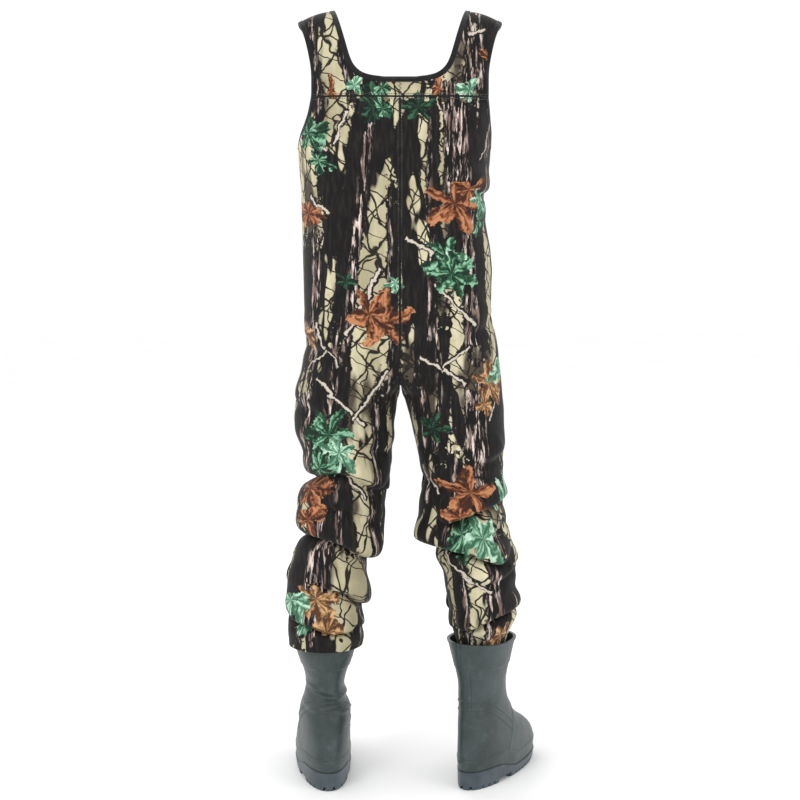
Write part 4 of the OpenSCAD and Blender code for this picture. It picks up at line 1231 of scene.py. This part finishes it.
def outsole(side):
    """The lugged sole: the boot's outline, less the arch, the toe spring and the tread."""
    turns = np.linspace(0, 360, 200, endpoint=False)
    levels = np.array([0.0, 0.006, 0.020, 0.030])
    grow = [0.0005, 0.0020, 0.0022, 0.0022]
    rings = []
    for level, extra in zip(levels, grow):
        ring = boot_surface(side, np.array([level]), turns, extra)[0]
        ring[:, 2] = level
        if level == levels[-1]:
            ring[:, 2] = sole_line(ring[:, 1]) - 0.0006
        if level == levels[-2]:
            ring[:, 2] = sole_line(ring[:, 1]) - 0.0030
        rings.append(ring)
    top_in = rings[-1].copy()
    top_in[:, 0] *= 0.90
    top_in[:, 1] = -0.077 + (top_in[:, 1] + 0.077) * 0.97
    rings.append(top_in)
    m = len(turns)
    points = np.concatenate(rings)
    faces = quads(len(rings), m, 0, False, wrap=True)
    faces.append(tuple(range(m)))
    faces.append(tuple((len(rings) - 1) * m + j for j in range(m)))
    body = add_object(f"lugged_sole_{SIDES[side]}", points, faces, smooth=False)
    fix_normals(body, 30)
    cutters_points = []
    cutters_faces = []

    def cut(x, y, z):
        p, f = box_mesh(x, y, z)
        start = len(cutters_points)
        cutters_points.extend(p)
        cutters_faces.extend([tuple(k + start for k in face) for face in f])

    cut((-0.1, 0.1), (-0.042, 0.004), (-0.01, 0.0095))
    for level in (0.018, 0.034, 0.050):
        cut((-0.1, -0.016), (level - 0.0024, level + 0.0024), (-0.01, 0.0075))
        cut((0.016, 0.1), (level - 0.0024, level + 0.0024), (-0.01, 0.0075))
    for x in (-0.026, -0.009, 0.009, 0.026):
        cut((x - 0.0022, x + 0.0022), (0.060, 0.09), (-0.01, 0.0075))
    count = 10
    for k in range(count):
        level = -0.056 - 0.0165 * k
        cut((-0.1, -0.014), (level - 0.0026, level + 0.0026), (-0.01, 0.0070))
        cut((0.014, 0.1), (level - 0.0026 - 0.006, level + 0.0026 - 0.006), (-0.01, 0.0070))
    for x in (-0.022, 0.0, 0.022):
        cut((x - 0.0022, x + 0.0022), (-0.24, -0.203), (-0.01, 0.0120))
    cutter = add_object("tread_cutter", np.array(cutters_points), cutters_faces, smooth=False)
    # toe spring
    wedge = [(-0.1, -0.175, -0.02), (0.1, -0.175, -0.02), (0.1, -0.175, 0.0), (-0.1, -0.175, 0.0),
             (-0.1, -0.245, -0.02), (0.1, -0.245, -0.02), (0.1, -0.245, 0.012), (-0.1, -0.245, 0.012)]
    wedge_faces = [(0, 1, 2, 3), (7, 6, 5, 4), (0, 3, 7, 4), (1, 5, 6, 2), (3, 2, 6, 7), (0, 4, 5, 1)]
    spring = add_object("toe_cutter", np.array(wedge), wedge_faces, smooth=False)
    for tool in (cutter, spring):
        fix_normals(tool)
        modifier = body.modifiers.new("cut", "BOOLEAN")
        modifier.operation = "DIFFERENCE"
        modifier.solver = "EXACT"
        modifier.use_self = True
        modifier.object = tool
    bevel = body.modifiers.new("edges", "BEVEL")
    bevel.width = 0.0007
    bevel.segments = 2
    bevel.limit_method = "ANGLE"
    bevel.angle_limit = math.radians(35)
    graph = bpy.context.evaluated_depsgraph_get()
    mesh = bpy.data.meshes.new_from_object(body.evaluated_get(graph))
    body.modifiers.clear()
    body.data = mesh
    for tool in (cutter, spring):
        bpy.data.objects.remove(tool, do_unlink=True)
    co = np.zeros(len(mesh.vertices) * 3)
    mesh.vertices.foreach_get("co", co)
    placed = place_boot(side, co.reshape(-1, 3)) + WORLD
    mesh.vertices.foreach_set("co", placed.ravel())
    mesh.update()
    mesh.polygons.foreach_set("use_smooth", [True] * len(mesh.polygons))
    fix_normals(body, 32)
    paint(body, SOLE)
    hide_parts(f"boot_outsole_{SIDES[side]}")
    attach(body, LOWER_LEG[side])


def sole_gap_shade(side):
    """A dark cord on the line where the upper meets the outsole: its dark colour is painted shade of the
    groove there.
    """
    turns = np.linspace(0, 360, 240, endpoint=False)
    ring = boot_surface(side, np.array([0.026]), turns, 0.0007)[0]
    ring[:, 2] = sole_line(ring[:, 1]) + 0.0004
    path = place_boot(side, ring)
    up = np.tile(np.array([0, 0, 1.0]), (len(path), 1))
    obj = tube(f"sole_line_{SIDES[side]}", path, rounded(0.0024, 0.0022, 0.0007, 2), up, closed=True)
    paint(obj, SOLE_GAP_SHADE)
    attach(obj, LOWER_LEG[side])


for side in (1, -1):
    boot_upper(side)
    outsole(side)
    sole_gap_shade(side)

# ------------------------------------------------------------------ seams, tapes and stitches
def flat_tape(name, path, normal, width, thick, material, sides=3):
    """A flat tape along a path of points, lying on the surface whose outward normals are given."""
    obj = tube(name, path, rounded(width, thick, min(width, thick) * 0.45, sides), normal)
    paint(obj, material)
    return obj


def column(side, half, index, low, high):
    """Points and normals up one edge of a panel between two heights."""
    grid, normal = PANELS[(side, half)][1:]
    rows = [i for i in range(grid.shape[0]) if low < grid[i, index, 2] < high]
    return grid[rows, index], normal[rows, index]


def middle_seam(half, low, high, node):
    """Seam down the middle of the back or front: a dark cord outside and a flat tape inside."""
    points, normal = column(1, half, 0, low, high)
    points, normal = resample(points, normal, 0.005)
    points[:, 0] = 0
    facing = 1.0 if half == "back" else -1.0
    normal = np.tile(np.array([0, facing, 0.0]), (len(points), 1))
    cord = flat_tape(f"{half}_seam_cord", points + normal * 0.0002, normal, 0.0042, 0.0012,
                     THREAD)
    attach(cord, "upper_garment")
    inside = points - normal * (THICK + 0.0012)
    tape = flat_tape(f"{half}_seam_tape", inside, normal, 0.016, 0.0010, TAPE)
    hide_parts(node)
    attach(tape, "upper_garment")
    return points, normal


BACK_SEAM, BACK_SEAM_OUT = middle_seam("back", 0.765, 1.288, "centre_back_seam_tape")
middle_seam("front", 0.765, 1.258, "centre_front_seam_tape")

for side in (1, -1):
    # side seam and inner leg seam, one cord each
    top = 1.196
    points, normal = column(side, "back", -1, LEG_END[side] + 0.002, top)
    points, normal = resample(points, normal, 0.006)
    outward = np.tile(np.array([side, 0, 0.0]), (len(points), 1))
    cord = flat_tape(f"side_seam_{SIDES[side]}", points, outward, 0.0036, 0.0012, THREAD)
    leg_blend(cord)
    points, normal = column(side, "back", 0, LEG_END[side] + 0.002, 0.745)
    points, normal = resample(points, normal, 0.006)
    outward = np.tile(np.array([-side, 0, 0.0]), (len(points), 1))
    cord = flat_tape(f"inseam_{SIDES[side]}", points, outward, 0.0036, 0.0012, THREAD)
    leg_blend(cord)


def stitches(name, path, normal, length, pitch, width=0.0011, height=0.0010, lift=0.0003):
    """A row of raised stitches along a path."""
    path = np.asarray(path)
    run = run_along(path)
    points = []
    faces = []
    ring = 6
    for k in range(int(run[-1] / pitch)):
        at = [np.array([np.interp(k * pitch + d, run, path[:, c]) for c in range(3)]) for d in (0, length)]
        up = np.array([np.interp(k * pitch, run, normal[:, c]) for c in range(3)])
        up /= np.linalg.norm(up)
        along_it = (at[1] - at[0]) / max(np.linalg.norm(at[1] - at[0]), 1e-9)
        across = np.cross(along_it, up)
        start = len(points)
        for share, size in ((0.0, 0.35), (0.2, 0.9), (0.5, 1.0), (0.8, 0.9), (1.0, 0.35)):
            middle = at[0] * (1 - share) + at[1] * share + up * (lift - (1 - size) * height * 0.5)
            for j in range(ring):
                a = 2 * math.pi * j / ring
                sideways = across * (width / 2 * size * math.cos(a))
                upwards = up * (height / 2 * size * math.sin(a))
                points.append(middle + sideways + upwards)
        faces += [tuple(start + q for q in face) for face in quads(5, ring, 0, False, wrap=True)]
        faces.append(tuple(start + j for j in range(ring)))
        faces.append(tuple(start + 4 * ring + j for j in reversed(range(ring))))
    obj = add_object(name, np.array(points) + WORLD, faces)
    fix_normals(obj, 60)
    paint(obj, THREAD_LIGHT)
    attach(obj, "upper_garment")
    return obj


for shift in (-0.0034, 0.0034):
    stitches("back_seam_stitches_" + ("right" if shift < 0 else "left"),
             BACK_SEAM + np.array([shift, 0, 0]), BACK_SEAM_OUT, 0.0026, 0.0042)

# the yoke seam: a cord over the joint, and stitches above and below it
left_row = YOKES[1][0]
right_row = YOKES[-1][0]
yoke_path = np.concatenate([left_row[::-1], right_row[1:]])
yoke_normal = np.concatenate([normals_of(YOKES[1], -1)[0][::-1], normals_of(YOKES[-1], 1)[0][1:]])
yoke_path, yoke_normal = resample(yoke_path, yoke_normal, 0.005)
cord = flat_tape("yoke_seam_cord", yoke_path + np.array([0, 0, -0.0004]), yoke_normal, 0.0034, 0.0018,
                 THREAD)
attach(cord, "upper_garment")
stitches("yoke_seam_stitches_upper", yoke_path + np.array([0, 0, 0.0042]), yoke_normal, 0.0026, 0.0042)
stitches("yoke_seam_stitches_lower", yoke_path + np.array([0, 0.0006, -0.0048]), yoke_normal, 0.0026, 0.0042)
zigzag = []
for k in range(17):
    zigzag.append((0.0030 if k % 2 else -0.0030, 0.1130, 1.262 + 0.0036 * k))
zigzag = np.array(zigzag)
zigzag_out = np.tile(np.array([0, 1.0, 0]), (len(zigzag), 1))
stitches("centre_zigzag", zigzag, zigzag_out, 0.0058, 0.0070, width=0.0013)

# ------------------------------------------------------------------ bib hardware
# How far the bib leans where the buckles lie, and the middle of the left buckle's socket
LEAN = math.radians(16.7)
BUCKLE_MIDDLE = (0.110, -0.124, 1.272)


def buckle_point(x, y, z):
    """A point of the buckle's own frame, where z runs up the webbing, in the wearer's frame."""
    forward = BUCKLE_MIDDLE[1] + y * math.cos(LEAN) + z * math.sin(LEAN)
    height = BUCKLE_MIDDLE[2] - y * math.sin(LEAN) + z * math.cos(LEAN)
    return (BUCKLE_MIDDLE[0] + x, forward, height)


def patch(name, width, height, place, facing, thick, material):
    """A sewn-on rectangle of fuzzy tape with softened edges, facing -y or +y."""
    cols = 26
    rows = 10
    grid = np.zeros((rows, cols, 3))
    for i in range(rows):
        for j in range(cols):
            u = j / (cols - 1) * 2 - 1
            v = i / (rows - 1) * 2 - 1
            edge = min(1 - abs(u) ** 14, 1 - abs(v) ** 8)
            grid[i, j] = (place[0] + u * width / 2, place[1] + facing * thick * (0.45 + 0.55 * edge),
                          place[2] - v * height / 2)
    inner = grid.copy()
    inner[:, :, 1] = place[1]
    obj = solid_sheet(name, grid, thick, 1, inner=inner)
    paint(obj, material, material)
    return obj


for side in (1, -1):
    mirror = np.array([side, 1, 1])
    path = []
    up = []
    for k in range(24):
        z = -0.062 + 0.197 * k / 23
        lean_out = 0.018 * np.clip((z - 0.092) / 0.043, 0, 1) ** 1.2
        path.append(np.array(buckle_point(lean_out, -0.0076 + 0.0004 * math.sin(40 * z), z)) * mirror)
        up.append((0, -math.cos(LEAN), math.sin(LEAN)))
    webbing = tube(f"webbing_{SIDES[side]}", path, rounded(0.038, 0.0020, 0.0008, 3), up)
    paint(webbing, WEBBING)
    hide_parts(f"strap_webbing_{SIDES[side]}")
    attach(webbing, "upper_garment")


# pocket: an open bellows of camouflage cloth
POCKET_HALF = 0.0855
POCKET_BACK = -0.1212
POCKET_DEEP = 0.0165
POCKET_TOP = 1.183
POCKET_TALL = 0.173
rows = 40
cols = 64
grid = np.zeros((rows, cols, 3))
for i in range(rows):
    for j in range(cols):
        u = (j / (cols - 1) * 2 - 1)
        v = i / (rows - 1)
        edge = 1 - abs(u) ** 9
        foot = 1 - max(0.0, (v - 0.80) / 0.20) ** 3
        sag = 0.0012 * math.sin(3.1 * u + 0.7) * math.sin(math.pi * v)
        face = POCKET_BACK - POCKET_DEEP * (max(edge, 0) ** 0.45) * (foot ** 0.5) - sag
        grid[i, j] = (POCKET_HALF * u, face, POCKET_TOP - POCKET_TALL * v)
uvs = np.stack([-grid[:, :, 0] + 0.13, grid[:, :, 2] - 0.30], axis=2)
pocket_inner = grid.copy()
pocket_inner[:, :, 1] = np.minimum(grid[:, :, 1] + 0.0022, -0.1206)
pocket = solid_sheet("bib_pocket", grid, 0.0022, 1, uvs, pocket_inner)
paint(pocket, CAMO, INSIDE)
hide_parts("chest_pocket")
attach(pocket, "upper_garment")
rim = [grid[0, j] + np.array([0, 0.0011, 0]) for j in range(2, cols - 2)]
rim_up = [(0, -1.0, 0)] * len(rim)
binding = tube("pocket_rim_binding", np.array(rim), rounded(0.0080, 0.0040, 0.0016, 3), rim_up)
paint(binding, BINDING)
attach(binding, "upper_garment")

# flap: hinged at its top edge, with rounded lower corners
FLAP_HALF = 0.0885
FLAP_FOOT = 1.137
FLAP_CORNER = 0.018
profile = [(-0.1224, 1.1984), (-0.1290, 1.1972), (-0.1370, 1.1946), (-0.1420, 1.1920), (-0.1446, 1.1885),
           (-0.1452, 1.1840), (-0.1454, 1.1740), (-0.1454, 1.1640), (-0.1453, 1.1540), (-0.1453, 1.1450),
           (-0.1453, 1.1400), (-0.1452, 1.1370)]
profile = smooth_rows(profile, 4)
rows = len(profile)
cols = 60
grid = np.zeros((rows, cols, 3))
for i, (y, z) in enumerate(profile):
    half_width = FLAP_HALF
    left = z - FLAP_FOOT
    if left < FLAP_CORNER:
        drop = FLAP_CORNER - left
        half_width = FLAP_HALF - FLAP_CORNER + math.sqrt(max(FLAP_CORNER ** 2 - drop ** 2, 0))
    for j in range(cols):
        u = j / (cols - 1) * 2 - 1
        grid[i, j] = (half_width * u, y, z + 0.0010 * u * u)
uvs = np.stack([-grid[:, :, 0] + 0.04, grid[:, :, 2] - 0.56], axis=2)
flap = solid_sheet("bib_pocket_flap", grid, 0.0026, 1, uvs)
paint(flap, CAMO, INSIDE)
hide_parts("pocket_flap")
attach(flap, "pocket_flap")
hooks = patch("flap_hooks", 0.120, 0.025, (0, -0.1428, 1.1545), 1, 0.0012, HOOKS)
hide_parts("flap_hook_tape")
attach(hooks, "pocket_flap")
loops = patch("pocket_loops", 0.120, 0.025, (0, -0.1376, 1.1545), -1, 0.0012, HOOKS)
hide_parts("pocket_loop_tape")
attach(loops, "upper_garment")

# knee pads, laid over the front panels
for side in (1, -1):
    obj, grid, normal = PANELS[(side, "front")]
    rows = [i for i in range(grid.shape[0]) if 0.490 < grid[i, 45, 2] < 0.634]
    cols = range(18, 74)
    base = grid[rows][:, cols]
    out = normal[rows][:, cols]
    m, k = base.shape[:2]
    v = np.linspace(-1, 1, m)[:, None]
    u = np.linspace(-1, 1, k)[None, :]
    edge = np.minimum(1 - np.abs(u) ** 10, 1 - np.abs(v) ** 10)[:, :, None]
    outer = base + out * (0.0008 + 0.0022 * edge)
    uvs = np.zeros((m, k, 2))
    uvs[:, :, 0] = u * 0.075 - 0.11 * side
    uvs[:, :, 1] = 0.98 - v * 0.075
    pad = solid_sheet(f"knee_patch_{SIDES[side]}", outer, 0.002, -side, uvs, base + out * 0.0002)
    paint(pad, CAMO, THREAD)
    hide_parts(f"knee_pad_{SIDES[side]}")
    leg_blend(pad)

# tape round the end of each leg, inside it
for side in (1, -1):
    back = PANELS[(side, "back")][1][-1]
    front = PANELS[(side, "front")][1][-1]
    ring = np.concatenate([back[1:-1], front[::-1][1:-1]])
    centre = ring.mean(axis=0)
    outward = ring - centre
    outward[:, 2] = 0
    outward /= np.linalg.norm(outward, axis=1, keepdims=True)
    ring = ring - outward * (THICK + 0.0012) + np.array([0, 0, 0.008])
    tape = tube(f"leg_end_tape_{SIDES[side]}", ring[::2], rounded(0.012, 0.0010, 0.0004, 2), outward[::2],
                closed=True)
    paint(tape, TAPE)
    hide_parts(f"boot_seal_tape_{SIDES[side]}")
    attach(tape, LOWER_LEG[side])

# ------------------------------------------------------------------ carried-over CAD pieces
FINISH = {
    "buckle_tab": WEBBING, "d_ring_tab": WEBBING, "buckle_socket": PLASTIC, "buckle_plug": PLASTIC,
    "boot_insole": FELT,
}
for node, obj in frame["nodes"].items():
    for stem, material in FINISH.items():
        if node.startswith(stem):
            paint(obj, material)
    if node == "d_ring":
        paint(obj, STEEL)

# ------------------------------------------------------------------ floor, light and camera
floor_mesh = bpy.data.meshes.new("floor")
floor_mesh.from_pydata([(-12, -12, 0), (12, -12, 0), (12, 12, 0), (-12, 12, 0)], [], [(0, 1, 2, 3)])
floor = bpy.data.objects.new("floor", floor_mesh)
bpy.context.scene.collection.objects.link(floor)
floor_material, n, shader = new_material("pale_floor", rough=0.9, specular=0.1)
floor_colour = n.mix(n.noise(n.object_coords(), 3.0), srgb(248, 248, 248), srgb(252, 252, 252))
n.link(floor_colour, shader.inputs["Base Color"])
floor_mesh.materials.append(floor_material)

world = bpy.data.worlds.new("soft_white")
world.use_nodes = True
world.node_tree.nodes["Background"].inputs[0].default_value = (1, 1, 1, 1)
world.node_tree.nodes["Background"].inputs[1].default_value = 1.04
bpy.context.scene.world = world
bpy.context.scene.view_settings.view_transform = "Standard"


def area_light(name, place, target, size, power):
    data = bpy.data.lights.new(name, "AREA")
    data.shape = "DISK"
    data.size = size
    data.energy = power
    lamp = bpy.data.objects.new(name, data)
    bpy.context.scene.collection.objects.link(lamp)
    lamp.location = place
    lamp.rotation_euler = (Vector(target) - Vector(place)).to_track_quat("-Z", "Y").to_euler()


aim = Vector((MIDDLE_X, KNEE[1].y, 0.75))
area_light("key_light", aim + Vector((1.6, 2.6, 1.9)), aim, 1.6, 34)
area_light("fill_light", aim + Vector((-2.4, 2.0, 0.9)), aim, 2.0, 14)
area_light("front_light", aim + Vector((0.6, -3.0, 1.6)), aim, 2.0, 22)

CAMERA_DISTANCE = 3.4
CAMERA_HEIGHT = 1.10
VIEW_MIDDLE_Z = 0.7335
FRAME_HEIGHT = 1.503
camera_data = bpy.data.cameras.new("photo_camera")
camera = bpy.data.objects.new("photo_camera", camera_data)
bpy.context.scene.collection.objects.link(camera)
target = Vector((MIDDLE_X, KNEE[1].y, VIEW_MIDDLE_Z))
camera.location = Vector((MIDDLE_X, KNEE[1].y + CAMERA_DISTANCE, CAMERA_HEIGHT))
camera.rotation_euler = (target - camera.location).to_track_quat("-Z", "Y").to_euler()
distance = (target - camera.location).length
camera_data.sensor_width = 36
camera_data.lens = 36 * distance / FRAME_HEIGHT
bpy.context.scene.camera = camera
